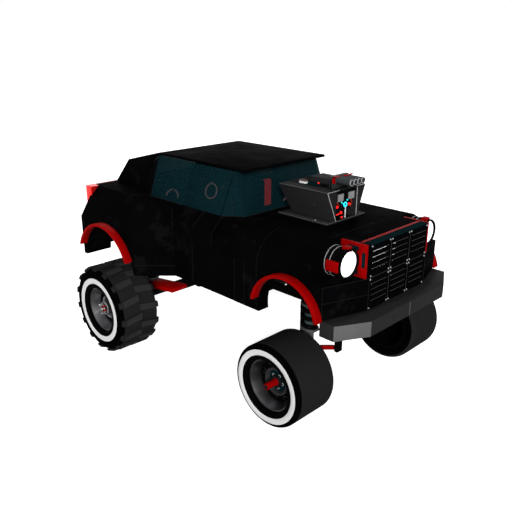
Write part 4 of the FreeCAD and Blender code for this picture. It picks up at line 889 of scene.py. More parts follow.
class Pattern:
    """A Geometry Nodes tree with named inputs that repeats what it is given."""

    def __init__(self, name: str, sizes: dict[str, str]) -> None:
        """Start the tree.

        Args:
            name: The tree's name.
            sizes: Socket type by input name.
        """
        self.tree = bpy.data.node_groups.new(name, "GeometryNodeTree")
        face = self.tree.interface
        face.new_socket("Geometry", in_out="INPUT", socket_type="NodeSocketGeometry")
        face.new_socket("Geometry", in_out="OUTPUT", socket_type="NodeSocketGeometry")
        for label, kind in {**sizes, "Finish": "NodeSocketMaterial"}.items():
            face.new_socket(label, in_out="INPUT", socket_type=kind)
        self.inputs = add(self.tree, "NodeGroupInput").outputs

    def copies(self, count: Socket) -> tuple[Socket, Socket]:
        """Stand copies of the item in its first place.

        Args:
            count: How many.

        Returns:
            The copies, and the number of each.
        """
        line = {"Count": count, "Offset": (0.0, 0.0, 0.0)}
        places = add(self.tree, "GeometryNodeMeshLine", line).outputs["Mesh"]
        copies = add(
            self.tree,
            "GeometryNodeInstanceOnPoints",
            {"Points": places, "Instance": self.inputs["Geometry"]},
        )
        index = add(self.tree, "GeometryNodeInputIndex")
        return copies.outputs["Instances"], index.outputs["Index"]

    def close(self, instances: Socket) -> None:
        """End the tree in real faces with the finish on them."""
        real = add(self.tree, "GeometryNodeRealizeInstances", {"Geometry": instances})
        dressed = add(
            self.tree,
            "GeometryNodeSetMaterial",
            {"Geometry": real.outputs["Geometry"], "Material": self.inputs["Finish"]},
        )
        add(self.tree, "NodeGroupOutput", {"Geometry": dressed.outputs["Geometry"]})

    def piece(
        self,
        name: str,
        item: Shape,
        finish: Finish,
        body: str = VEHICLE,
        replaces: Sequence[str] = (),
        **values: Any,
    ) -> bpy.types.Object:
        """Run the tree on an item and settle the result as a piece.

        Args:
            name: The piece's name.
            item: What is repeated, in its first place.
            finish: Its material.
            body: The CAD body that it rides on.
            replaces: CAD nodes that it stands for.
            **values: The tree's sizes, by input name with underscores for spaces.

        Returns:
            The new object.
        """
        carrier = bpy.data.objects.new(name + "_item", item.data(name + "_item"))
        bpy.context.scene.collection.objects.link(carrier)
        modifier = carrier.modifiers.new("pattern", "NODES")
        modifier.node_group = self.tree
        labels = {key.replace("_", " "): value for key, value in values.items()}
        labels["Finish"] = finish.material()
        for socket in self.tree.interface.items_tree:
            if socket.in_out == "INPUT" and socket.name in labels:
                modifier[socket.identifier] = labels[socket.name]
        mesh = plain_mesh(carrier)
        carrier.modifiers.remove(modifier)
        bpy.data.objects.remove(carrier)
        mesh.name = name
        mesh.set_sharp_from_angle(angle=math.radians(SMOOTH_DEGREES))
        return settle(name, mesh, [finish], body, replaces)


class TurnPattern(Pattern):
    """Copies of an item turned about an axis."""

    def __init__(self) -> None:
        """Build the tree."""
        super().__init__(
            "copies_round_an_axis",
            {
                "Count": "NodeSocketInt",
                "Centre": "NodeSocketVector",
                "Axis": "NodeSocketVector",
                "First Angle": "NodeSocketFloat",
                "Step Angle": "NodeSocketFloat",
            },
        )
        tree, given = self.tree, self.inputs
        copies, index = self.copies(given["Count"])
        angle = add(
            tree,
            "ShaderNodeMath",
            {0: index, 1: given["Step Angle"], 2: given["First Angle"]},
            operation="MULTIPLY_ADD",
        )
        turn = add(
            tree,
            "FunctionNodeAxisAngleToRotation",
            {"Axis": given["Axis"], "Angle": angle.outputs["Value"]},
        )
        turned = add(
            tree,
            "GeometryNodeRotateInstances",
            {
                "Instances": copies,
                "Rotation": turn.outputs["Rotation"],
                "Pivot Point": given["Centre"],
                "Local Space": False,
            },
        )
        self.close(turned.outputs["Instances"])


class GridPattern(Pattern):
    """Copies of an item in rows and columns."""

    def __init__(self) -> None:
        """Build the tree."""
        super().__init__(
            "copies_in_a_grid",
            {
                "Columns": "NodeSocketInt",
                "Column Step": "NodeSocketVector",
                "Rows": "NodeSocketInt",
                "Row Step": "NodeSocketVector",
            },
        )
        tree, given = self.tree, self.inputs
        total = add(
            tree, "ShaderNodeMath", {0: given["Columns"], 1: given["Rows"]}, operation="MULTIPLY"
        )
        copies, index = self.copies(total.outputs["Value"])
        column = add(tree, "ShaderNodeMath", {0: index, 1: given["Columns"]}, operation="MODULO")
        share = add(tree, "ShaderNodeMath", {0: index, 1: given["Columns"]}, operation="DIVIDE")
        row = add(tree, "ShaderNodeMath", {0: share.outputs["Value"]}, operation="FLOOR")
        along = add(
            tree,
            "ShaderNodeVectorMath",
            {0: given["Column Step"], "Scale": column.outputs["Value"]},
            operation="SCALE",
        )
        up = add(
            tree,
            "ShaderNodeVectorMath",
            {0: given["Row Step"], "Scale": row.outputs["Value"]},
            operation="SCALE",
        )
        shift = add(
            tree, "ShaderNodeVectorMath", {0: along.outputs["Vector"], 1: up.outputs["Vector"]}
        )
        moved = add(
            tree,
            "GeometryNodeTranslateInstances",
            {
                "Instances": copies,
                "Translation": shift.outputs["Vector"],
                "Local Space": False,
            },
        )
        self.close(moved.outputs["Instances"])


class CoilPattern(Pattern):
    """A coil spring wound upwards from the middle of its foot."""

    def __init__(self) -> None:
        """Build the tree."""
        super().__init__(
            "coil_spring",
            {
                "Foot": "NodeSocketVector",
                "Turns": "NodeSocketFloat",
                "Coil Radius": "NodeSocketFloat",
                "Height": "NodeSocketFloat",
                "Wire Radius": "NodeSocketFloat",
            },
        )
        tree, given = self.tree, self.inputs
        spiral = add(
            tree,
            "GeometryNodeCurveSpiral",
            {
                "Resolution": 28,
                "Rotations": given["Turns"],
                "Start Radius": given["Coil Radius"],
                "End Radius": given["Coil Radius"],
                "Height": given["Height"],
            },
        )
        wire = add(
            tree,
            "GeometryNodeCurvePrimitiveCircle",
            {"Resolution": 10, "Radius": given["Wire Radius"]},
        )
        swept = add(
            tree,
            "GeometryNodeCurveToMesh",
            {
                "Curve": spiral.outputs["Curve"],
                "Profile Curve": wire.outputs["Curve"],
                "Fill Caps": True,
            },
        )
        placed = add(
            tree,
            "GeometryNodeTransform",
            {"Geometry": swept.outputs["Mesh"], "Translation": given["Foot"]},
        )
        smooth = add(
            tree, "GeometryNodeSetShadeSmooth", {"Geometry": placed.outputs["Geometry"]}
        )
        self.close(smooth.outputs["Geometry"])


# Stations and levels of the CAD frame

FRONT_X = 1.865
REAR_X = -1.615
BELT_Z = 2.575
CREASE_Z = 2.118
ROOF_Z = 3.225
BODY_Y = 1.372
ARC_RADIUS = 0.457


def coat(node: str, finish: Finish, body: str = VEHICLE, bevel: float = 0.004) -> None:
    """Stand a copy with rounded edges in for one CAD node.

    Args:
        node: The CAD node.
        finish: Its material.
        body: The body that it rides on.
        bevel: Radius of the rounded edges.
    """
    shape = Shape()
    shape.copy(node)
    shape.bevel(bevel, 2)
    shape.place(node + "_" + finish.name.split("_")[0], finish, body=body, replaces=[node])


def blocks(
    name: str,
    finish: Finish,
    bevel: float,
    *corners: tuple[Point, Point],
    segments: int = 2,
    mirrored: bool = False,
) -> None:
    """Place boxes with rounded edges as one piece.

    Args:
        name: The piece's name.
        finish: Its material.
        bevel: Radius of the rounded edges.
        *corners: Lowest and highest corner of each box.
        segments: Faces across a rounded edge.
        mirrored: Whether the truck's other side has them too.
    """
    shape = Shape()
    for low, high in corners:
        shape.box(low, high)
    shape.bevel(bevel, segments)
    if mirrored:
        shape.mirror()
    shape.place(name, finish)


def rods(
    name: str, finish: Finish, sides: int, *runs: tuple[float, Sequence[Point]]
) -> None:
    """Place round rods as one piece.

    Args:
        name: The piece's name.
        finish: Its material.
        sides: Faces round a rod.
        *runs: Radius and path of each rod.
    """
    shape = Shape()
    for radius, path in runs:
        shape.tube(path, radius, sides)
    shape.place(name, finish)


@dataclass
class BodyShell:
    """The black car body with its doors, arches, weld lines and tail lamps.

    Attributes:
        edge: Radius of the panels' pressed edges.
        bead: Radius of the weld lines.
        foot_z: Level at which the lines up the sides start.
        door_x: Station of the line down each door.
        hood_x: Station of the line up each fender and over its shoulder.
        quarter_x: Station of the line behind each door.
        fender_x: Stations of the lines down each fender.
        sill_z: Level of the line across the hip's front face.
        nose_levels: Levels of the lines on the nose's angled faces.
        jamb: Thickness of the plates beside the doors' upper half.
        jamb_x: Rear faces of the plates before and behind a door.
    """

    edge: float = 0.006
    bead: float = 0.003
    foot_z: float = 1.440
    door_x: float = -0.110
    hood_x: float = 1.291
    quarter_x: float = -0.578
    fender_x: tuple[float, ...] = (0.845, 1.045)
    sill_z: float = 1.605
    nose_levels: tuple[float, ...] = (1.890, 2.112)
    jamb: float = 0.008
    jamb_x: tuple[float, float] = (0.376, -0.606)

    def build(self) -> None:
        """Build and dress the shell."""
        for node in (
            "hood", "nose_panel", "front_fenders", "rockers", "rear_quarters", "tail_panel",
            "roof", "fastback",
        ):
            coat(node, BODY_PAINT, bevel=self.edge)
        for side in Side:
            coat(f"door_{side.word}", BODY_PAINT, f"door_{side.word}", self.edge)
            self.door_lines(side)
        coat("floor_pan", FRAME_COAT)
        coat("arch_flares", RED_COAT, bevel=0.010)
        self.body_lines()
        self.jambs()
        self.nose_lines()
        self.tail_lamps()

    def over(self, x: float, low: float, turn: float, lean: float = 0.0) -> list[Point]:
        """Return a path up the side and over the rounded shoulder.

        Args:
            x: Its station on the side.
            low: Level of its foot.
            turn: Degrees of the shoulder's arc that it follows.
            lean: How far it moves forward on the way over.
        """
        path = [(x, BODY_Y, low), (x, BODY_Y, CREASE_Z)]
        for step in range(1, 13):
            angle = math.radians(turn * step / 12)
            y = BODY_Y - ARC_RADIUS * (1 - math.cos(angle))
            path.append((x + lean * step / 12, y, CREASE_Z + ARC_RADIUS * math.sin(angle)))
        return path

    def body_lines(self) -> None:
        """Lay the weld lines on fenders, sills and hips, and across the hood's front."""
        shape = Shape()
        shape.tube(self.over(self.hood_x, 2.10, 90, 0.056), self.bead, 6)
        uprights = [
            (self.hood_x, self.foot_z, 2.10),
            *((x, self.foot_z, 2.105) for x in self.fender_x),
            (self.door_x, self.foot_z, 1.860),
            (self.quarter_x, 2.120, 2.566),
        ]
        for x, low, high in uprights:
            shape.tube([(x, BODY_Y, low), (x, BODY_Y, high)], self.bead, 6)
        shape.tube([(-1.026, 1.829, self.sill_z), (-0.568, 1.374, self.sill_z)], 0.004, 6)
        shape.mirror()
        shape.tube([(2.127, -0.86, BELT_Z), (2.127, 0.86, BELT_Z)], self.bead, 6)
        shape.place("body_weld_lines", WELD)

    def jambs(self) -> None:
        """Close the body's openings before and behind each door's upper half."""
        shape = Shape()
        outer, top = BODY_Y - 0.008, BELT_Z - 0.007
        cowl = []
        for step in range(9):
            angle = math.radians(80 * step / 8)
            y = BODY_Y - 0.02 - ARC_RADIUS * (1 - math.cos(angle))
            cowl.append((y, CREASE_Z + ARC_RADIUS * math.sin(angle)))
        cowl += [(1.02, top), (1.163, top), (outer, 2.347), (outer, CREASE_Z)]
        post = [(1.060, 1.880), (outer, 1.880), (outer, top), (1.060, top)]
        for outline, x in zip((cowl, post), self.jamb_x):
            shape.prism(outline, Axis.X, x, x + self.jamb)
        shape.mirror()
        shape.place("door_jambs", BODY_PAINT)

    def door_lines(self, side: Side) -> None:
        """Lay the weld lines of one door.

        Args:
            side: The truck's side.
        """
        shape = Shape()
        shape.tube([(self.door_x, BODY_Y, 1.875), (self.door_x, BODY_Y, 2.100)], self.bead, 6)
        pillar = [(0.355, BODY_Y, 2.17), (0.355, BODY_Y, 2.346), (0.358, 1.166, 2.569)]
        shape.tube(pillar, self.bead, 6)
        shape.tube([(-0.090, BODY_Y, 2.350), (-0.040, 1.166, 2.570)], self.bead, 6)
        if side is Side.RIGHT:
            shape.move(Matrix.Diagonal((1, -1, 1, 1)))
        shape.place(f"door_weld_lines_{side.word}", WELD, body=f"door_{side.word}")

    def nose_lines(self) -> None:
        """Lay the bright lines on the nose's angled faces, beside the grille."""
        shape = Shape()
        for level in self.nose_levels:
            shape.tube([(2.467, 1.371, level), (2.687, 0.694, level)], 0.0035, 6)
        shape.tube([(2.690, 0.692, 1.668), (2.690, 0.692, 2.110)], 0.004, 6)
        shape.tube([(2.466, 1.373, 1.668), (2.466, 1.373, 2.105)], self.bead, 6)
        shape.mirror()
        shape.place("nose_weld_lines", WELD)

    def tail_lamps(self) -> None:
        """Dress the tail's strip, with its corner lamps lit."""
        shape = Shape()
        shape.copy("tail_lamps")
        shape.bevel(0.006)
        for y in (-1.345, 1.345):
            shape.split((0, y, 0), (0, 1, 0))
        shape.paint(1, lambda middle, normal: abs(middle.y) > 1.345 and normal.x < 0.5)
        shape.place("tail_lamp_bar", TAIL_STRIP, TAIL_LENS, replaces=["tail_lamps"])


@dataclass
class Seat:
    """A front seat with padded cushion and back.

    Attributes:
        side: The truck's side.
        y: Middle of the seat.
        half: Half its width.
        rear_x: Rear face of the back.
        length: Length of the cushion.
        top_z: Level of the cushion's top.
        back_height: Height of the back.
        stripe_half: Half the width of the driver's red stripe.
        gap: Room left free round each cushion.
        inset: How far a cushion's core stays inside its room.
        core_edge: Radius of the core's edges.
        voxel: Size of the faces that the cloth is made of.
        pressure: Air pressure inside the cloth.
        swell_limit: How far the cloth may swell.
        frames: Steps of the cloth's simulation.
    """

    side: Side
    y: float = 0.4
    half: float = 0.23
    rear_x: float = -0.310
    length: float = 0.50
    top_z: float = 2.130
    back_height: float = 0.72
    stripe_half: float = 0.080
    gap: float = 0.014
    inset: float = 0.012
    core_edge: float = 0.022
    voxel: float = 0.012
    pressure: float = 4.0
    swell_limit: float = 0.025
    frames: int = 20

    def build(self) -> None:
        """Build and dress the seat."""
        y, rear, gap = self.side.value * self.y, self.rear_x, self.gap
        self.pad(
            "cushion",
            (rear + 0.115, y - self.half + gap, self.top_z - 0.105),
            (rear + self.length - gap, y + self.half - gap, self.top_z - gap),
        )
        self.pad(
            "back",
            (rear + gap, y - self.half + gap, self.top_z + 0.012),
            (rear + 0.110 - gap, y + self.half - gap, self.top_z + self.back_height - gap),
        )
        frame_shape = Shape()
        frame_shape.box((rear + 0.11, y - 0.16, 1.69), (rear + self.length - 0.12, y + 0.16, 2.012))
        frame_shape.box((rear + 0.004, y - 0.19, 1.98), (rear + 0.42, y + 0.19, 2.020))
        frame_shape.bevel(0.012)
        replaced = ["seats"] if self.side is Side.LEFT else []
        frame_shape.place(f"seat_base_{self.side.word}", CABIN_PLASTIC, replaces=replaced)

    def pad(self, part: str, low: Point, high: Point) -> None:
        """Swell one cushion with cloth and dress it, with the stripe on its front.

        Args:
            part: The cushion's name.
            low: Lowest corner of the room that it fills.
            high: Highest corner.
        """
        shape = Shape()
        shape.box([a + self.inset for a in low], [b - self.inset for b in high])
        shape.bevel(self.core_edge, 3)
        mesh = shape.data(f"{part}_core", 80)
        mesh = self.swell(mesh, low, high)
        mesh.polygons.foreach_set("use_smooth", [True] * len(mesh.polygons))
        # The driver's back gets the red stripe, whose glow is painted light.
        if part == "back" and self.side is Side.LEFT:
            for face in mesh.polygons:
                if abs(face.center.y - self.y) < self.stripe_half and face.normal.x > -0.2:
                    face.material_index = 1
        name = f"seat_{part}_{self.side.word}"
        cushion = settle(name, mesh, [SEAT_LEATHER, RED_VINYL_PAINTED_GLOW])

    def swell(self, mesh: bpy.types.Mesh, low: Point, high: Point) -> bpy.types.Mesh:
        """Blow the cushion up with cloth, no further than the room that it fills.

        Args:
            mesh: The core.
            low: Lowest corner of the room.
            high: Highest corner.

        Returns:
            The swollen mesh, once subdivided.
        """
        scene = bpy.context.scene
        pad = bpy.data.objects.new("pad", mesh)
        scene.collection.objects.link(pad)
        remesh = pad.modifiers.new("remesh", "REMESH")
        remesh.mode = "VOXEL"
        remesh.voxel_size = self.voxel
        core = plain_mesh(pad)
        pad.modifiers.clear()
        pad.data = core
        cloth = pad.modifiers.new("cloth", "CLOTH")
        cloth.settings.use_pressure = True
        cloth.settings.uniform_pressure_force = self.pressure
        cloth.settings.effector_weights.gravity = 0.0
        for number in range(1, self.frames + 1):
            scene.frame_set(number)
        swollen = plain_mesh(pad)
        scene.frame_set(1)
        for before, after in zip(core.vertices, swollen.vertices):
            step = after.co - before.co
            if step.length > self.swell_limit:
                step *= self.swell_limit / step.length
            reached = before.co + step
            after.co = [min(max(v, a), b) for v, a, b in zip(reached, low, high)]
        pad.modifiers.clear()
        pad.data = swollen
        finer = pad.modifiers.new("finer", "SUBSURF")
        finer.levels = finer.render_levels = 1
        made = plain_mesh(pad)
        bpy.data.objects.remove(pad)
        return made


@dataclass
class Canopy:
    """The tinted canopy and what shows through it.

    Attributes:
        ring_radius: Radius of a loudspeaker's ring.
        speakers: Middles of the loudspeakers.
        shelf_x: Front edge of the shelf behind the seats.
        shelf_z: Its level.
        shelf_half: Half its width.
        board: Thickness of its boards.
        brace: Thickness of the clear braces.
        bar_x: Station of the roll bar.
    """

    ring_radius: float = 0.125
    speakers: tuple[Point, ...] = ((-0.790, -0.4, 2.641), (-1.30, -0.842, 2.530))
    shelf_x: float = -0.80
    shelf_z: float = 2.500
    shelf_half: float = 1.02
    board: float = 0.03
    brace: float = 0.006
    bar_x: float = -0.62

    def build(self) -> None:
        """Build and dress the canopy and the cabin."""
        for node in ("windshield", "rear_glass"):
            coat(node, CANOPY, bevel=0.001)
        for side in Side:
            coat(f"door_glass_{side.word}", CANOPY, f"door_{side.word}", 0.001)
            Seat(side).build()
        coat("dashboard", CABIN_PLASTIC, bevel=0.02)
        # The steering wheel's glow is painted light.
        coat("steering_wheel", PALE_PLASTIC_PAINTED_GLOW, bevel=0.001)
        self.gussets()
        self.trim()
        self.shelf()
        self.harness()

    def gussets(self) -> None:
        """Stand clear tapering braces behind the panes' joints."""
        shape = Shape()
        low, high, thin = BELT_Z + 0.03, ROOF_Z - 0.02, self.brace
        plans = (((-0.683, -0.317), (-0.460, -0.420)), ((-1.420, -1.160), (-1.440, -1.400)))
        for foot, head in plans:
            rings = []
            for y, z, (rear, front) in ((1.110, low, foot), (0.900, high, head)):
                rings.append([(rear, y, z), (front, y, z), (front, y - thin, z), (rear, y - thin, z)])
            shape.loft(rings)
        shape.mirror()
        rings = []
        for x, z, right, left in ((0.585, low, -0.188, -0.072), (0.360, high, -0.020, 0.0)):
            rings.append([(x, right, z), (x, left, z), (x - thin, left, z), (x - thin, right, z)])
        shape.loft(rings)
        shape.place("canopy_gussets", GUSSET)

    def trim(self) -> None:
        """Run a dark bead along the panes' foot and up their front joints."""
        shape = Shape()
        level = BELT_Z + 0.004
        shape.tube([(0.612, 0.945, level), (0.350, 1.158, level), (0.342, 1.170, level)], 0.0035, 6)
        shape.tube([(-0.570, 1.172, level), (-1.435, 1.172, level)], 0.0035, 6)
        shape.tube([(0.470, 1.060, level), (0.366, 0.918, ROOF_Z - 0.01)], 0.004, 6)
        shape.mirror()
        shape.tube([(0.628, -0.940, level), (0.628, 0.940, level)], 0.0035, 6)
        shape.place("canopy_foot_trim", CABIN_PLASTIC)

    def shelf(self) -> None:
        """Build the shelf behind the seats, with its two loudspeakers."""
        shape = Shape()
        x, z, half = self.shelf_x, self.shelf_z, self.shelf_half
        shape.box((-1.46, -half, z - self.board), (x, half, z))
        shape.box((x - self.board, -half, 2.10), (x, half, z))
        radius = self.ring_radius
        cone = [(0, 0), (radius, 0), (radius, 0.05), (0.06, 0.03), (0, 0.03)]
        rings = Shape()
        for x, y, z in self.speakers:
            shape.lathe(cone, (x - 0.03, y, z), Axis.X, 40, closed=False)
            shape.box((x - 0.03, y - 0.05, self.shelf_z - 0.01), (x, y + 0.05, z - 0.08))
            rings.ring((x + 0.026, y, z), radius, 0.012)
        shape.bevel(0.006)
        shape.place("parcel_shelf", CABIN_PLASTIC)
        # The loudspeakers' rings glow with painted light.
        rings.place("loudspeaker_rings", PALE_PLASTIC_PAINTED_GLOW)

    def harness(self) -> None:
        """Stand the roll bar behind the seats with its rear stay and eyes that carry a painted glow."""
        shape = Shape()
        half = [(0.98, 1.70), (0.98, 2.80), (0.86, 3.12)]
        path = [(-y, z) for y, z in half] + half[::-1]
        shape.tube([(self.bar_x, y, z) for y, z in path], 0.022, 10)
        for y in (-0.85, 0.85):
            shape.tube([(-1.40, y, self.shelf_z), (self.bar_x - 0.04, y, 3.10)], 0.012, 8)
        shape.place("roll_bar", CABIN_PLASTIC)
        places = ((-0.719, 2.92), (-0.545, 2.84), (-0.308, 2.718))
        eyes = [
            ((-0.60, y - 0.028, z - 0.012), (-0.585, y + 0.028, z + 0.012)) for y, z in places
        ]
        blocks("harness_eyes", HARNESS_EYE_PAINTED_GLOW, 0.003, *eyes)


@dataclass
class Nose:
    """Grille, lamps and bumper.

    Attributes:
        columns: Grille panels across.
        rows: Grille panels one above the other.
        slots: Slots in each panel.
        half: Half the grille's width.
        foot: Lowest edge of the grille.
        front: Station of the grille's front face.
        inset: Distance of the bolts and the slots' field from a panel's edges.
        border: Distance of a slot's ends from a panel's sides.
        lamp: Middle of the left lamp in Y and Z.
    """

    columns: int = 3
    rows: int = 2
    slots: int = 4
    half: float = 0.690
    foot: float = 1.660
    front: float = 2.685
    inset: float = 0.026
    border: float = 0.056
    lamp: tuple[float, float] = (0.961, 2.3465)

    @property
    def width(self) -> float:
        """Width of one grille panel."""
        return 2 * self.half / self.columns

    @property
    def height(self) -> float:
        """Height of one grille panel."""
        return (BELT_Z - self.foot) / self.rows

    @property
    def across(self) -> dict[str, Any]:
        """The pattern sizes that repeat an item in each column of the grille."""
        return {"Columns": self.columns, "Column_Step": (0.0, self.width, 0.0)}

    def build(self, grid: GridPattern) -> None:
        """Build and dress the nose.

        Args:
            grid: Pattern that repeats in rows.
        """
        coat("grille", GRILLE_COAT, bevel=0.002)
        coat("headlamps", FRAME_COAT, bevel=0.004)
        self.bumper()
        self.louvres(grid)
        self.joints()
        self.bolts(grid)
        self.lamp_frames()
        self.lamps()

    def bumper(self) -> None:
        """Dress the bumper, with its angled corners painted lighter as a highlight and a weld down its
        middle.
        """
        shape = Shape()
        shape.copy("front_bumper")
        shape.bevel(0.008)
        # Faces that turn forward and aside, the angled corners, get the lighter grey of the painted
        # highlight.
        shape.paint(1, lambda middle, normal: abs(normal.y) > 0.3 and normal.x > 0.6)
        shape.place("front_bumper_plate", BUMPER_PLATE, BUMPER_CORNER_HIGHLIGHT, replaces=["front_bumper"])
        # The weld down the bumper's middle is drawn pale grey, a painted highlight on it.
        rods("bumper_weld", EDGE_HIGHLIGHT_GREY, 6, (0.004, [(2.9155, 0.0, 1.450), (2.9155, 0.0, 1.640)]))

    def louvres(self, grid: GridPattern) -> None:
        """Set a rolled grey lip along the top of each slot, with a hood behind it."""
        pitch = (self.height - 2 * self.inset) / (self.slots + 1)
        low, high = -self.half + self.border, -self.half + self.width - self.border
        for row in range(self.rows):
            z = self.foot + self.inset + pitch + row * self.height
            lip = Shape()
            x = self.front + 0.002
            lip.tube([(x, low, z + 0.016), (x, high, z + 0.016)], 0.0045, 8)
            hood = Shape()
            hood.prism(
                [(self.front - 0.004, z + 0.017), (self.front - 0.008, z + 0.017),
                 (self.front - 0.052, z - 0.016), (self.front - 0.048, z - 0.016)],
                Axis.Y, low, high,
            )
            for word, item, finish in (("lips", lip, LOUVRE_LIP), ("hoods", hood, GRILLE_COAT)):
                grid.piece(
                    f"grille_{word}_{row + 1}", item, finish,
                    Rows=self.slots, Row_Step=(0.0, 0.0, pitch), **self.across,
                )

    def joints(self) -> None:
        """Draw the joints between the grille's panels, and the teal strip above it, which is painted
        shade of the recess there.
        """
        shape = Shape()
        x = self.front + 0.0005
        for column in range(1, self.columns):
            y = -self.half + column * self.width
            shape.tube([(x, y, self.foot + 0.01), (x, y, BELT_Z - 0.06)], 0.0035, 6)
        middle = self.foot + self.height
        shape.tube([(x, -self.half, middle), (x, self.half, middle)], 0.0035, 6)
        shape.place("grille_joints", LOUVRE_LIP)
        # The teal strip along the grille's top is painted shade of the recess there.
        blocks(
            "grille_top_edge", TEAL_PAINT_AND_SHADE, 0.001,
            ((2.640, -self.half, 2.568), (2.6885, self.half, 2.5765)),
            ((2.560, -self.half, 2.5748), (2.640, self.half, 2.5768)),
            segments=1,
        )

    def bolts(self, grid: GridPattern) -> None:
        """Set a bolt in each corner of each grille panel."""
        inset = self.inset
        for corner in range(4):
            y = -self.half + (inset if corner % 2 == 0 else self.width - inset)
            z = self.foot + (inset if corner < 2 else self.height - inset)
            bolt = Shape()
            bolt.lathe(
                [(0, 0.011), (0.008, 0.010), (0.0125, 0.004), (0.0125, 0), (0, 0)],
                (self.front - 0.001, y, z), Axis.X, 12, closed=False,
            )
            grid.piece(
                f"grille_bolts_{corner + 1}", bolt, BOLT_STEEL,
                Rows=self.rows, Row_Step=(0.0, 0.0, self.height), **self.across,
            )

    def lamp_frames(self) -> None:
        """Dress the red plates beside the lamps, with thin teal sheets on them as painted shade of the
        recesses round the lamps.
        """
        coat("grille_surround", RED_COAT, bevel=0.003)
        plate = Shape()
        plate.box((2.330, 0.742, 2.190), (2.590, 0.7585, 2.500))
        plate.box((2.450, 0.900, 2.500), (2.540, 0.990, 2.5735))
        plate.bevel(0.003)
        plate.mirror()
        plate.box((2.515, -self.half, 2.5735), (2.560, self.half, 2.5775))
        plate.place("lamp_frame_plates", RED_COAT)
        spans = (
            ((2.370, 2.472), (2.545, 2.536)), ((2.370, 2.150), (2.545, 2.214)),
            ((2.600, 2.262), (2.652, 2.470)), ((2.268, 2.262), (2.320, 2.470)),
        )
        # These teal sheets are painted shade of the recesses round the lamps.
        panels = [((low[0], 0.750, low[1]), (high[0], 0.7615, high[1])) for low, high in spans]
        blocks("lamp_frame_panels", TEAL_PAINT_AND_SHADE, 0.0015, *panels, segments=1, mirrored=True)

    def lamps(self) -> None:
        """Build the domed lenses with their warm edges, and the rings round the cans; the pale rings are
        painted highlights on the cans.
        """
        y, z = self.lamp
        lens = Shape()
        dome = [(0, 0.0295), (0.05, 0.0285), (0.10, 0.025), (0.145, 0.019), (0.164, 0.013)]
        edge = [(0.164, 0.013), (0.175, 0.007), (0.1775, 0), (0, 0)]
        for ink, profile in enumerate((dome, edge)):
            lens.ink = ink
            lens.lathe(profile, (2.526, y, z), Axis.X, 48, closed=False)
        lens.mirror()
        lens.place("headlamp_glass", HEADLAMP_GLASS, LAMP_EDGE, replaces=["headlamp_lenses"])
        rings = [(0.199, 0), (0.2035, 0.003), (0.2035, 0.012), (0.199, 0.015)]
        bezel = [(0.178, 0.0), (0.200, 0.0), (0.197, 0.007), (0.182, 0.007)]
        # The two pale rings on each can are painted highlights.
        for word, profile, stations, finish in (
            ("rings", rings, (2.300, 2.375), ALUMINIUM_AND_HIGHLIGHT_GREY), ("bezels", bezel, (2.5545,), FRAME_COAT),
        ):
            trim = Shape()
            for x in stations:
                trim.lathe(profile, (x, y, z), Axis.X, 48)
            trim.mirror()
            trim.place(f"headlamp_{word}", finish)


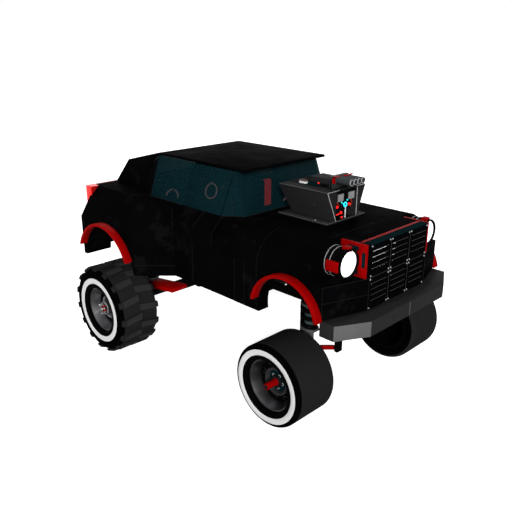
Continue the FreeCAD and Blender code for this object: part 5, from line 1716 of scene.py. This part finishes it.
@dataclass
class ScoopAndEngine:
    """The flared scoop with the engine's top, pipes and small parts in it.

    Attributes:
        front_x: Front edge of the scoop.
        top_z: Its top edge.
        foot_z: Level of its foot.
        top_half: Half its width at the top.
        mouth_half: Half the width of its mouth.
        plate_z: Level of the base plate's top.
        beads: Beads in the belt's guard.
    """

    front_x: float = 1.750
    top_z: float = 3.040
    foot_z: float = 2.600
    top_half: float = 0.442
    mouth_half: float = 0.236
    plate_z: float = 2.5995
    beads: int = 15

    def build(self, grid: GridPattern) -> None:
        """Build and dress the scoop and the engine.

        Args:
            grid: Pattern that repeats in rows.
        """
        coat("hood_scoop", SCOOP_PRIMER, bevel=0.002)
        coat("intake_pipes", PIPE_STEEL, bevel=0.002)
        block = Shape()
        block.copy("engine")
        block.bevel(0.010)
        block.paint(1, lambda middle, normal: middle.z > 2.6 and normal.x < 0.5)
        block.place("engine_block", ENGINE_IRON, SCOOP_PRIMER, replaces=["engine"])
        self.edges()
        self.base(grid)
        self.intake()
        self.lamps()
        self.belt()
        self.on_top()
        self.pipes()

    def edges(self) -> None:
        """Draw bright lines along the sheet's front edges and paler ones along its other edges, as
        painted highlights.
        """
        x, top, mouth, half = self.front_x + 0.001, self.top_z, self.mouth_half, self.top_half
        foot, edge = self.foot_z + 0.002, top - 0.001
        rods(
            "scoop_front_edges", BRIGHT_EDGE_HIGHLIGHT, 6,
            (0.0055, [(x, 0.002 - half, top - 0.002), (x + 0.014, -0.249, foot)]),
            (0.0055, [(x, mouth + 0.006, top - 0.010), (x, mouth + 0.006, foot)]),
            (0.0045, [(x, half - 0.002, edge), (x, mouth, edge)]),
            (0.0045, [(x, -half, edge), (x, -mouth + 0.05, edge)]),
        )
        rear, front, side, low = 0.826, 1.766, 0.446, self.plate_z - 0.001
        rods(
            "scoop_soft_edges", EDGE_HIGHLIGHT_GREY, 6,
            (0.003, [(front, -side, low), (front, side, low)]),
            (0.0035, [(rear, -side, low), (front, -side, low)]),
            (0.0035, [(rear, side, low), (front, side, low)]),
            (0.003, [(0.840, -half, top), (self.front_x, -half, top)]),
        )

    def base(self, grid: GridPattern) -> None:
        """Set small rivets along the base plate, and one bright bolt."""
        # The inner row of rivets is pale grey, painted highlights on their heads.
        rows = (
            ("outer", (0.870, -0.428), SCOOP_PRIMER, 27), ("inner", (0.887, -0.385), EDGE_HIGHLIGHT_GREY, 26),
        )
        for word, (x, y), finish, count in rows:
            rivet = Shape()
            head = [(0, 0.005), (0.005, 0.004), (0.007, 0), (0, 0)]
            rivet.lathe(head, (x, y, self.plate_z), Axis.Z, 8, closed=False)
            grid.piece(
                f"scoop_base_rivets_{word}", rivet, finish, Columns=count,
                Column_Step=(0.0333, 0.0, 0.0), Rows=2, Row_Step=(0.0, -2 * y, 0.0),
            )
        bolt = Shape()
        head = [(0, 0.016), (0.012, 0.015), (0.017, 0.006), (0.017, 0), (0, 0)]
        bolt.lathe(head, (1.520, -0.405, self.plate_z), Axis.Z, 6, closed=False)
        bolt.place("scoop_base_bolt", CHROME)

    def intake(self) -> None:
        """Face the intake's barrels with pale castings and hang dark parts round them."""
        blocks(
            "intake_housings", ALUMINIUM_AND_HIGHLIGHT_GREY, 0.008,
            ((1.690, -0.178, 2.868), (1.742, -0.062, 2.972)),
            ((1.690, 0.070, 2.868), (1.742, 0.192, 2.972)),
        )
        dark = Shape()
        dark.box((1.600, -0.225, 2.975), (1.742, 0.225, 3.012))
        dark.box((1.600, -0.056, 2.740), (1.715, 0.060, 2.985))
        dark.box((1.560, -0.215, 2.700), (1.640, 0.215, 2.860))
        dark.bevel(0.008, 2)
        for y in (-0.150, 0.140):
            path = [
                (1.62, y, 2.86), (1.68, y * 0.8, 2.78), (1.69, y * 0.55, 2.66),
                (1.66, y * 0.5, 2.605),
            ]
            dark.tube(path, 0.020, 10)
        dark.place("intake_fittings", ENGINE_IRON)
        rods(
            "intake_copper_pipes", COPPER_PIPE, 8,
            (0.010, [(1.700, 0.165, 2.86), (1.712, 0.175, 2.80), (1.706, 0.150, 2.74)]),
            (0.010, [(1.700, -0.165, 2.86), (1.712, -0.150, 2.82), (1.706, -0.120, 2.80)]),
        )
        path = []
        for step in range(13):
            angle = math.pi * (0.1 + 0.9 * step / 12)
            path.append((1.715, -0.125 + 0.052 * math.cos(angle), 2.705 + 0.042 * math.sin(angle)))
        rods("intake_teal_hose", TEAL_PAINT_AND_SHADE, 8, (0.009, path))

    def lamps(self) -> None:
        """Stand the lit indicators before the intake, on their stems."""
        cyan = Shape()
        cyan.ring((1.728, 0.002, 2.800), 0.030, 0.010)
        for y, z in ((-0.075, 2.840), (0.055, 2.855), (-0.045, 2.815), (0.040, 2.775)):
            cyan.ball((1.722, y, z), 0.011)
        cyan.place("indicator_rings_cyan", CYAN_GLOW)
        red = Shape()
        lamps = ((-0.175, 2.787), (0.107, 2.787), (-0.078, 2.690))
        for y, z in lamps:
            red.lathe(
                [(0, 0.032), (0.014, 0.028), (0.021, 0.012), (0.021, 0), (0, 0)],
                (1.708, y, z), Axis.X, 16, closed=False,
            )
        red.tube([(1.712, -0.180, 2.672), (1.712, -0.110, 2.676)], 0.008, 6)
        red.ball((1.722, -0.062, 2.620), 0.016)
        red.place("indicator_lamps_red", RED_GLOW)
        ends = lamps + ((-0.145, 2.674), (-0.062, 2.620))
        stems = [(0.006, [(1.567, y * 0.8, z), (1.712, y, z)]) for y, z in ends]
        rods("indicator_stems", ENGINE_IRON, 6, *stems)

    def belt(self) -> None:
        """Hang the chain of white beads that guards the belt; their white is a painted glint of polished
        chain.
        """
        beads = Shape()
        high, low, last = 2.768, 2.612, self.beads - 1
        for index in range(self.beads):
            z = high - (high - low) * index / last
            beads.ball((1.733, 0.003 + (0.008 if index % 2 == 0 else -0.008), z), 0.0068)
        beads.tube([(1.733, 0.003, 2.770), (1.733, 0.003, 2.602)], 0.003, 6)
        beads.place("belt_guard_beads", WHITE_CAPS_AND_GLINTS)

    def on_top(self) -> None:
        """Lay the small parts along the scoop's top opening."""
        top = self.top_z
        plate = top + 0.006
        caps = [
            ((x, -0.225, plate), (x + 0.034, -0.175, top + 0.040))
            for x in (1.040, 1.040 + 0.042, 1.040 + 2 * 0.042)
        ]
        for name, finish, bevel, corners in (
            (
                "top_carrier", SCOOP_PRIMER, 0.002,
                [((1.000, -0.245, top - 0.002), (1.560, -0.120, plate))],
            ),
            ("top_white_caps", WHITE_CAPS_AND_GLINTS, 0.004, caps),
            (
                "top_brown_cover", BROWN_VARNISH, 0.004,
                [((1.030, -0.232, top + 0.040), (1.168, -0.168, top + 0.054))],
            ),
            (
                "top_teal_box", TEAL_PAINT_AND_SHADE, 0.005,
                [((1.215, -0.235, plate), (1.400, -0.150, top + 0.040)),
                 ((1.400, -0.225, plate), (1.450, -0.160, top + 0.022))],
            ),
        ):
            blocks(name, finish, bevel, *corners)
        red = Shape()
        red.ball((1.384, -0.197, top + 0.046), 0.014)
        red.place("top_red_lamp", RED_GLOW)
        dark = Shape()
        for x, y in ((1.455, -0.205), (1.485, -0.175), (1.515, -0.205), (1.545, -0.175)):
            plug = [(0, 0.05), (0.012, 0.05), (0.014, 0.044), (0.014, 0), (0, 0)]
            dark.lathe(plug, (x, y, top + 0.004), Axis.Z, 12, closed=False)
        dark.tube([(1.450, -0.190, top + 0.020), (1.550, -0.190, top + 0.024)], 0.007, 6)
        dark.place("top_black_plugs", ENGINE_IRON)
        bridge = ((1.630, -0.235, top - 0.010), (1.752, 0.235, top + 0.002))
        blocks("scoop_bridge", SCOOP_PRIMER, 0.002, bridge)
        slots = Shape()
        for y in (-0.06, 0.05, 0.16):
            slots.prism(
                [(1.652, y - 0.012), (1.735, y + 0.055), (1.735, y + 0.080), (1.652, y + 0.013)],
                Axis.Z, top + 0.0015, top + 0.0035,
            )
        slots.place("scoop_bridge_slots", ENGINE_IRON)

    def pipes(self) -> None:
        """Give the pipes pale lips, and strap them with a red bracket and bar."""
        lips = Shape()
        lip = [
            (0.0355, -0.004), (0.0355, 0.004), (0.0425, 0.004), (0.0435, 0.0), (0.0435, -0.010),
            (0.042, -0.010),
        ]
        for y in (-0.132, -0.044, 0.044, 0.132):
            lips.lathe(lip, (1.925, y, 3.165), Axis.X, 24)
        lips.place("pipe_lips", BOLT_STEEL)
        blocks(
            "pipe_straps", RED_COAT, 0.003,
            ((1.628, -0.196, 3.122), (1.668, -0.178, 3.214)),
            ((1.628, -0.196, 3.207), (1.668, -0.050, 3.214)),
            ((1.676, -0.010, 3.207), (1.700, 0.190, 3.221)),
        )
        stays = [(0.010, [(1.600, y, 3.035), (1.600, y, 3.170)]) for y in (-0.187, 0.187)]
        rods("pipe_stays", ENGINE_IRON, 8, *stays)


@dataclass
class Wheel:
    """One tyre with its rim, dressed from the hub outwards.

    Attributes:
        place: Front or rear, as node names have it.
        side: The truck's side.
        x: Station of the axle.
        radius: The tyre's radius.
        width: The tyre's width.
        inner_y: Distance from the truck's middle to the tyre's inner side.
        white: Outer and inner radius of the white ring.
        lugs: Bars on each half of the tread, or 0 for a smooth tread.
        lug_height: Height of the bars.
        disc_depth: Depth of the rim's disc behind the tyre's outer side.
        bead_radius: Radius of the tyre's edge at the rim's lip.
        seat_radius: Radius at which the tyre sits on the rim.
    """

    place: str
    side: Side
    x: float
    radius: float
    width: float
    inner_y: float
    white: tuple[float, float]
    lugs: int = 0
    lug_height: float = 0.042
    disc_depth: float = 0.252
    bead_radius: float = 0.4375
    seat_radius: float = 0.4015

    @property
    def body(self) -> str:
        """The body that this wheel is."""
        return f"wheel_{self.place}_{self.side.word}"

    @property
    def label(self) -> str:
        """The end of this wheel's piece names."""
        return f"{self.place}_{self.side.word}"

    @property
    def face(self) -> float:
        """Distance from the tyre's inner side to the disc's outer face."""
        return self.width - self.disc_depth

    @property
    def hub(self) -> tuple[float, float, float]:
        """Point on the axle line that turned copies go round."""
        return (self.x, 0.0, self.radius)

    def turned(self, shape: Shape, profile: Ring, steps: int = 96, closed: bool = True) -> None:
        """Turn a profile of radius and distance from the tyre's inner side."""
        centre = (self.x, self.side.value * self.inner_y, self.radius)
        shape.lathe(profile, centre, Axis.Y, steps, closed, self.side.value)

    def fitting(self, name: str, finish: Finish, steps: int, profile: Ring) -> None:
        """Turn a profile into a piece; one that stays clear of the axle closes to a ring.

        Args:
            name: Start of the piece's name.
            finish: Its material.
            steps: Faces in one turn.
            profile: Radius and distance from the disc's outer face.
        """
        shape = Shape()
        at_axle = profile[0][0] == 0 or profile[-1][0] == 0
        self.turned(shape, [(r, self.face + level) for r, level in profile], steps, not at_axle)
        shape.place(f"{name}_{self.label}", finish, body=self.body)

    def around(
        self, turns: TurnPattern, name: str, item: Shape, finish: Finish, count: int, first: float
    ) -> None:
        """Repeat an item round the axle.

        Args:
            turns: Pattern that repeats round an axis.
            name: Start of the piece's name.
            item: The first copy.
            finish: Its material.
            count: Number of copies in the full turn.
            first: Angle of the first copy, as a share of one step.
        """
        step = 2 * math.pi / count
        turns.piece(
            f"{name}_{self.label}", item, finish, self.body, Count=count, Centre=self.hub,
            Axis=(0.0, 1.0, 0.0), First_Angle=first * step, Step_Angle=step,
        )

    def build(self, turns: TurnPattern) -> None:
        """Build the tyre and the rim.

        Args:
            turns: Pattern that repeats round an axis.
        """
        if self.lugs:
            self.lugged_tyre()
            self.bars(turns)
            self.rim(REAR_BARREL, CHROME, 3)
            self.rear_hub()
        else:
            self.smooth_tyre()
            self.rim(RIM_BARREL, HAT_STEEL, 1)
            self.front_hub(turns)
        self.disc(turns)

    def bead(self, low: float) -> list[tuple[float, float]]:
        """Return the tyre's profile from the white ring round the rim to the inner side.

        Args:
            low: Radius at which the inner sidewall meets the tread.
        """
        w, edge, seat = self.width, self.bead_radius, self.seat_radius
        return [
            (self.white[1], w - 0.006), (edge, w - 0.014), (edge, w - 0.040), (seat, w - 0.040),
            (seat, 0.040), (edge, 0.040), (edge, 0.014), (0.46, 0.0), (0.53, 0.0), (low, 0.004),
        ]

    def skin(self, low: float, tread: Ring, shoulder: Ring, steps: int, smooth: float) -> None:
        """Turn the tread, the sidewalls and the white ring, in place of the CAD tyre.

        Args:
            low: Radius at which the sidewalls meet the tread.
            tread: The tread's profile, from the inner side to the outer.
            shoulder: The outer shoulder's profile, as black as the sidewall.
            steps: Faces in one turn of the tread.
            smooth: Angle under which neighbouring faces are shaded as one.
        """
        shape = Shape()
        w = self.width
        high, inner = self.white
        shape.ink = 0
        self.turned(shape, tread, steps, closed=False)
        shape.ink = 1
        self.turned(shape, shoulder, steps, closed=False)
        black = [(low, w - 0.004), (high + 0.012, w - 0.001), (high, w - 0.002)]
        self.turned(shape, black, closed=False)
        shape.ink = 2
        white = [(high, w - 0.002), (high - 0.008, w), (inner + 0.008, w), (inner, w - 0.006)]
        self.turned(shape, white, closed=False)
        shape.ink = 1
        self.turned(shape, self.bead(low), closed=False)
        shape.place(
            f"tyre_skin_{self.label}", TREAD_RUBBER, SIDEWALL_RUBBER, WHITEWALL, body=self.body,
            replaces=[f"tyre_{self.label}"], smooth=smooth,
        )

    def smooth_tyre(self) -> None:
        """Build the front tyre with its plain round-shouldered tread."""
        r, w = self.radius, self.width
        tread = [(r - 0.050, 0.004)]
        for step in range(9):
            angle = math.radians(90 * step / 8)
            tread.append((r - 0.045 + 0.045 * math.sin(angle), 0.065 - 0.055 * math.cos(angle)))
        shoulder = [(radius, w - level) for radius, level in reversed(tread)]
        tread.append(shoulder[0])
        self.skin(r - 0.050, tread, shoulder, 128, 40)

    def lugged_tyre(self) -> None:
        """Build the rear tyre's carcass with flats between its bars."""
        base, w = self.radius - self.lug_height, self.width
        tread = [
            (base - 0.060, 0.004), (base - 0.028, 0.022), (base, 0.060), (base + 0.004, w / 2),
            (base, w - 0.060),
        ]
        shoulder = [(base, w - 0.060), (base - 0.028, w - 0.022), (base - 0.060, w - 0.004)]
        self.skin(base - 0.060, tread, shoulder, 2 * self.lugs, 8)

    def bar(
        self, levels: Sequence[tuple[float, float]], lean: float, foot: float, top: float
    ) -> list[list[Point]]:
        """Return the rings of one bar, from its inner to its outer end.

        Args:
            levels: Places across the tyre, each with how far the top is lower there.
            lean: How far its last ring runs ahead of its first one.
            foot: Radius of its foot.
            top: Radius of its top.
        """
        rings = []
        first, last = levels[0][0], levels[-1][0]
        for level, drop in levels:
            ahead = lean * ((level - first) / (last - first) - 0.5)
            y = self.side.value * (self.inner_y + level)
            ring = []
            high = top - drop
            for spread, r in ((-0.056, foot), (-0.047, high), (0.047, high), (0.056, foot)):
                angle = (spread + ahead) / self.radius
                ring.append((self.x + r * math.sin(angle), y, self.radius + r * math.cos(angle)))
            rings.append(ring)
        return rings

    def bars(self, turns: TurnPattern) -> None:
        """Stand slanted bars on each half of the tread, staggered by half a step.

        Args:
            turns: Pattern that repeats round an axis.
        """
        middle, w = self.width / 2, self.width
        top, foot = self.radius - 0.001, self.radius - self.lug_height - 0.02
        inner = ((0.010, 0.028), (0.075, 0.0), (middle + 0.012, 0.0))
        outer = ((middle - 0.012, 0.0), (w - 0.075, 0.0), (w - 0.010, 0.028))
        for half, (levels, lean) in enumerate(((inner, -0.055), (outer, 0.055))):
            first = 0.25 + half / 2
            bar = Shape()
            bar.loft(self.bar(levels, lean, foot, top - 0.002))
            bar.bevel(0.006, 2)
            self.around(turns, f"tyre_bars_{half + 1}", bar, TREAD_RUBBER, self.lugs, first)
            # Each bar's paler crest is painted light for its lit top.
            crown = Shape()
            flat = [(level, 0.0) for level, drop in levels if not drop]
            crown.loft(self.bar(flat, lean * 0.85, top - 0.006, top))
            crown.bevel(0.002, 1)
            self.around(turns, f"tyre_crowns_{half + 1}", crown, LUG_CREST_PAINTED_LIGHT, self.lugs, first)

    def rim(self, barrel: Finish, hat: Finish, steps: int) -> None:
        """Build the rim's lips, its stepped barrel and the round hat on its disc.

        Args:
            barrel: Material of the barrel.
            hat: Material of the hat.
            steps: Steps in the tapering barrel.
        """
        w, face = self.width, self.face
        shape = Shape()
        shape.ink = 0
        self.turned(shape, [
            (0.400, w - 0.040), (0.436, w - 0.040), (0.436, w - 0.016), (0.431, w - 0.012),
            (0.392, w - 0.014), (0.384, w - 0.020),
        ], closed=False)
        shape.ink = 1
        taper = [(0.376, w - 0.066)]
        for step in range(steps):
            start, end = step / steps, (step + 1) / steps
            taper.append((0.370 - 0.080 * start - 0.010, w - 0.069 - 0.150 * start))
            taper.append((0.370 - 0.080 * end, w - 0.070 - 0.150 * end))
        self.turned(shape, taper, closed=False)
        shape.ink = 0
        self.turned(shape, [(0.384, w - 0.020), taper[0]], closed=False)
        self.turned(shape, [
            taper[-1], (0.284, face + 0.006), (0.278, face), (0.096, face), (0.096, face - 0.026),
            (0.400, face - 0.026), (0.400, w - 0.040),
        ], closed=False)
        self.turned(shape, [
            (0.436, 0.014), (0.436, 0.0395), (0.400, 0.0395), (0.400, face - 0.028),
            (0.385, face - 0.028), (0.385, 0.05), (0.392, 0.014),
        ])
        shape.place(
            f"rim_shell_{self.label}", RIM_ENAMEL, barrel, body=self.body,
            replaces=[f"rim_{self.label}"],
        )
        self.fitting("rim_hat", hat, 64, [
            (0.207, 0), (0.205, 0.046), (0.198, 0.054), (0.176, 0.050), (0.160, 0.020), (0.157, 0),
        ])
        self.fitting("hub_drum", FORGED_STEEL, 48, [
            (0.0455, -0.100), (0.0455, 0.050), (0.085, 0.055), (0.094, 0.045), (0.094, -0.186),
            (0.0455, -0.186),
        ])

    def disc(self, turns: TurnPattern) -> None:
        """Put pressed rings round the disc's holes.

        Args:
            turns: Pattern that repeats round an axis.
        """
        item = Shape()
        y = self.side.value * (self.inner_y + self.face - 0.001)
        item.lathe(
            [(0.034, 0), (0.042, 0), (0.042, 0.006), (0.034, 0.006)],
            (self.x + 0.272, y, self.radius), Axis.Y, 24, sign=self.side.value,
        )
        self.around(turns, "disc_rings", item, HAT_STEEL, 8, 0.25)

    def front_hub(self, turns: TurnPattern) -> None:
        """Build the teal hub plate with its ring nuts and the red cap with its teal tip.

        Args:
            turns: Pattern that repeats round an axis.
        """
        self.fitting("hub_plate", TEAL_PAINT_AND_SHADE, 48, [
            (0, 0.012), (0.145, 0.012), (0.155, 0.004), (0.155, -0.001), (0, -0.001),
        ])
        self.fitting("hub_cap", RED_COAT, 40, [
            (0.034, 0.243), (0.040, 0.243), (0.0445, 0.236), (0.0445, 0.062), (0.052, 0.056),
            (0.052, 0.012), (0, 0.012),
        ])
        self.fitting("hub_cap_tip", TEAL_PAINT_AND_SHADE, 32, [
            (0, 0.238), (0.0345, 0.238), (0.0345, 0.230), (0, 0.230),
        ])
        nut = Shape()
        y = self.inner_y + self.face
        sign, nut_x = self.side.value, self.x + 0.100
        nut.ring((nut_x, sign * (y + 0.020), self.radius), 0.017, 0.0055, Axis.Y, 20)
        self.around(turns, "wheel_nut_rings", nut, BOLT_STEEL, 5, 0.1)
        stud = Shape()
        stud.lathe(
            [(0, 0.018), (0.008, 0.018), (0.010, 0.014), (0.010, 0), (0, 0)],
            (nut_x, sign * (y + 0.010), self.radius), Axis.Y, 6, closed=False, sign=sign,
        )
        self.around(turns, "wheel_studs", stud, FORGED_STEEL, 5, 0.1)

    def rear_hub(self) -> None:
        """Build the chrome drum, the red cap and the winged spinner before it."""
        self.fitting("hub_chrome", CHROME, 48, [
            (0, 0.140), (0.108, 0.140), (0.120, 0.130), (0.122, 0.030), (0.150, 0.022),
            (0.155, 0.004), (0.155, -0.001), (0, -0.001),
        ])
        self.fitting("hub_cap", RED_COAT, 40, [
            (0, 0.172), (0.046, 0.172), (0.052, 0.164), (0.052, 0.138), (0, 0.138),
        ])
        spinner = Shape()
        y = self.side.value * (self.inner_y + self.face + 0.180)
        for index in range(3):
            angle = math.radians(25 + 120 * index)
            dx, dz = 0.088 * math.cos(angle), 0.088 * math.sin(angle)
            spinner.tube([(self.x, y, self.radius), (self.x + dx, y, self.radius + dz)], 0.013, 10)
            spinner.ball((self.x + dx, y, self.radius + dz), 0.024)
        spinner.ball((self.x, y, self.radius), 0.030)
        spinner.place(f"hub_spinner_{self.label}", CHROME, body=self.body)


@dataclass
class Suspension:
    """Arms, shocks, coils and axle.

    Attributes:
        turns: Turns of each coil.
        coil_radius: Radius of the coils' middle line.
        wire: Radius of the spring wire.
        sleeve: Radius of the painted sleeve inside the coil.
        springs: End of the truck, station, distance from its middle, foot and head of each spring.
    """

    turns: float = 2.5
    coil_radius: float = 0.112
    wire: float = 0.0305
    sleeve: float = 0.076
    springs: tuple[tuple[str, float, float, float, float], ...] = (
        ("front", FRONT_X, 0.870, 1.198, 1.550), ("rear", REAR_X, 1.120, 1.065, 1.550),
    )

    def build(self, coils: CoilPattern) -> None:
        """Build and dress the running gear under the body.

        Args:
            coils: Pattern that winds a spring.
        """
        for node, finish, bevel in (
            ("front_arms", RED_COAT, 0.010), ("rear_arms", RED_COAT, 0.010),
            ("shocks", SHOCK_STEEL, 0.004), ("rear_axle", FORGED_STEEL, 0.004),
            ("chassis_frame", FRAME_COAT, 0.004),
        ):
            coat(node, finish, bevel=bevel)
        coat("tie_rod", FORGED_STEEL, "tie_rod", 0.001)
        for side in Side:
            coat(f"knuckle_{side.word}", FORGED_STEEL, f"knuckle_{side.word}", 0.004)
        for side in Side:
            for place, x, y, low, high in self.springs:
                replaced = ["springs"] if (side, place) == (Side.LEFT, "front") else []
                coils.piece(
                    f"coil_{place}_{side.word}", Shape(), SPRING_STEEL, VEHICLE, replaced,
                    Foot=(x, side.value * y, low + self.wire), Turns=self.turns,
                    Coil_Radius=self.coil_radius, Height=high - low - 2 * self.wire,
                    Wire_Radius=self.wire,
                )
        sleeves = Shape()
        bore = 0.0625
        for _, x, y, low, high in self.springs:
            top = high - low - 0.09
            profile = [(bore, 0.03), (self.sleeve, 0.034), (self.sleeve, top), (bore, top + 0.01)]
            sleeves.lathe(profile, (x, y, low), Axis.Z, 32)
        sleeves.mirror()
        sleeves.place("shock_sleeves", SLEEVE_PAINT)


@dataclass
class Studio:
    """Pale floor, soft light and the camera.

    Attributes:
        eye: The camera's place.
        azimuth: Degrees round the object, from behind it towards its right.
        elevation: Degrees above the horizon.
        lens: Focal length for a 36 mm wide picture.
        key: Strength of the wide light from the camera's side.
        rim: Strength of the weak light from behind.
        ambient: Strength of the light from all round.
        glow: Brightness that the floor adds for the camera.
        floor_half: Half the floor's width.
        key_span: Degrees that the wide light spans.
        rim_span: Degrees that the weak light spans.
        rim_height: Degrees above the horizon of the weak light.
        reach: Distance of both lights.
    """

    eye: tuple[float, float, float] = (6.7818, -6.8086, 4.9991)
    azimuth: float = 45.2986
    elevation: float = 19.6278
    lens: float = 42.1375
    key: float = 3.3
    rim: float = 0.8
    ambient: float = 0.25
    glow: float = 0.86
    floor_half: float = 60.0
    key_span: float = 18.0
    rim_span: float = 40.0
    rim_height: float = 35.0
    reach: float = 12.0

    def build(self) -> None:
        """Set up the stage."""
        scene = bpy.context.scene
        scene.view_settings.view_transform = "Standard"
        self.camera(scene)
        self.world(scene)
        self.floor()
        self.lamp("key", self.azimuth, self.elevation, self.key, self.key_span)
        self.lamp("rim", self.azimuth + 180, self.rim_height, self.rim, self.rim_span)

    def back(self, azimuth: float, elevation: float) -> Vector:
        """Return the direction from the object to a place round it."""
        a, e = math.radians(azimuth), math.radians(elevation)
        return Vector((math.sin(a) * math.cos(e), -math.cos(a) * math.cos(e), math.sin(e)))

    def camera(self, scene: bpy.types.Scene) -> None:
        """Stand the camera where the photograph was taken from."""
        camera = bpy.data.cameras.new("camera")
        camera.lens = self.lens
        camera.sensor_width = 36.0
        camera.clip_end = 200.0
        holder = bpy.data.objects.new("camera", camera)
        scene.collection.objects.link(holder)
        back = self.back(self.azimuth, self.elevation)
        right = Vector((-back.y, back.x, 0)).normalized()
        turn = Matrix((right, back.cross(right), back)).transposed()
        holder.matrix_world = Matrix.Translation(self.eye) @ turn.to_4x4()
        scene.camera = holder

    def world(self, scene: bpy.types.Scene) -> None:
        """Give the camera, gloss and glass a white surround, and the object a soft light."""
        world = bpy.data.worlds.new("studio")
        scene.world = world
        world.use_nodes = True
        tree = world.node_tree
        tree.nodes.clear()
        path = add(tree, "ShaderNodeLightPath").outputs
        clear = add(
            tree, "ShaderNodeMath", {0: path["Is Glossy Ray"], 1: path["Is Transmission Ray"]},
            operation="MAXIMUM",
        )
        seen = add(
            tree, "ShaderNodeMath", {0: path["Is Camera Ray"], 1: clear.outputs["Value"]},
            operation="MAXIMUM",
        )
        colour = (1.0, 1.0, 1.0, 1.0)
        ambient = add(tree, "ShaderNodeBackground", {"Color": colour, "Strength": self.ambient})
        white = add(tree, "ShaderNodeBackground", {"Color": colour, "Strength": 1.0})
        mix = add(
            tree, "ShaderNodeMixShader",
            {0: seen.outputs["Value"], 1: ambient.outputs["Background"], 2: white.outputs["Background"]},
        )
        add(tree, "ShaderNodeOutputWorld", {"Surface": mix.outputs["Shader"]})

    def floor(self) -> None:
        """Lay the pale floor."""
        shape = Shape()
        half = self.floor_half
        shape.box((-half, -half, -0.02), (half, half, 0))
        mesh = shape.data("floor")
        mesh.materials.append(self.floor_material())
        floor = bpy.data.objects.new("floor", mesh)
        bpy.context.scene.collection.objects.link(floor)

    def floor_material(self) -> bpy.types.Material:
        """Return the pale floor's material: white to the eye, with the object's soft shadow."""
        material = bpy.data.materials.new("pale_studio_floor")
        material.use_nodes = True
        tree = material.node_tree
        tree.nodes.clear()
        place = add(tree, "ShaderNodeTexCoord").outputs["Object"]
        mottle = add(tree, "ShaderNodeTexNoise", {"Vector": place, "Scale": 0.7, "Detail": 2.0})
        shade = add(
            tree, "ShaderNodeMix",
            {0: mottle.outputs["Fac"], 6: (0.84, 0.84, 0.84, 1), 7: (0.86, 0.86, 0.86, 1)},
            data_type="RGBA",
        )
        matt = add(tree, "ShaderNodeBsdfDiffuse", {"Color": shade.outputs[2]})
        glow = add(tree, "ShaderNodeEmission", {"Color": (1, 1, 1, 1), "Strength": self.glow})
        path = add(tree, "ShaderNodeLightPath").outputs
        lit = add(tree, "ShaderNodeAddShader", {0: matt.outputs["BSDF"], 1: glow.outputs["Emission"]})
        mix = add(
            tree, "ShaderNodeMixShader",
            {0: path["Is Camera Ray"], 1: matt.outputs["BSDF"], 2: lit.outputs["Shader"]},
        )
        add(tree, "ShaderNodeOutputMaterial", {"Surface": mix.outputs["Shader"]})
        return material

    def lamp(
        self, name: str, azimuth: float, elevation: float, strength: float, angle: float
    ) -> None:
        """Hang a far wide lamp.

        Args:
            name: The lamp's name.
            azimuth: Degrees round the object that it stands at.
            elevation: Degrees above the horizon.
            strength: Its strength.
            angle: Degrees that it spans, which softens its shadows.
        """
        light = bpy.data.lights.new(name, "SUN")
        light.energy = strength
        light.angle = math.radians(angle)
        holder = bpy.data.objects.new(name, light)
        bpy.context.scene.collection.objects.link(holder)
        away = self.back(azimuth, elevation)
        turn = away.to_track_quat("Z", "Y").to_matrix().to_4x4()
        holder.matrix_world = Matrix.Translation(away * self.reach) @ turn


def main() -> None:
    """Build the studio and every sub-assembly."""
    logging.basicConfig(level=logging.INFO, format="%(message)s")
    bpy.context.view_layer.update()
    Studio().build()
    turns, grid, coils = TurnPattern(), GridPattern(), CoilPattern()
    BodyShell().build()
    Canopy().build()
    Nose().build(grid)
    ScoopAndEngine().build(grid)
    Suspension().build(coils)
    for side in Side:
        Wheel(
            "front", side, FRONT_X, radius=0.600, width=0.760, inner_y=1.004, white=(0.537, 0.456)
        ).build(turns)
        Wheel(
            "rear", side, REAR_X, radius=0.752, width=0.728, inner_y=1.498, white=(0.552, 0.462),
            lugs=15,
        ).build(turns)


if __name__ == "__main__":
    main()
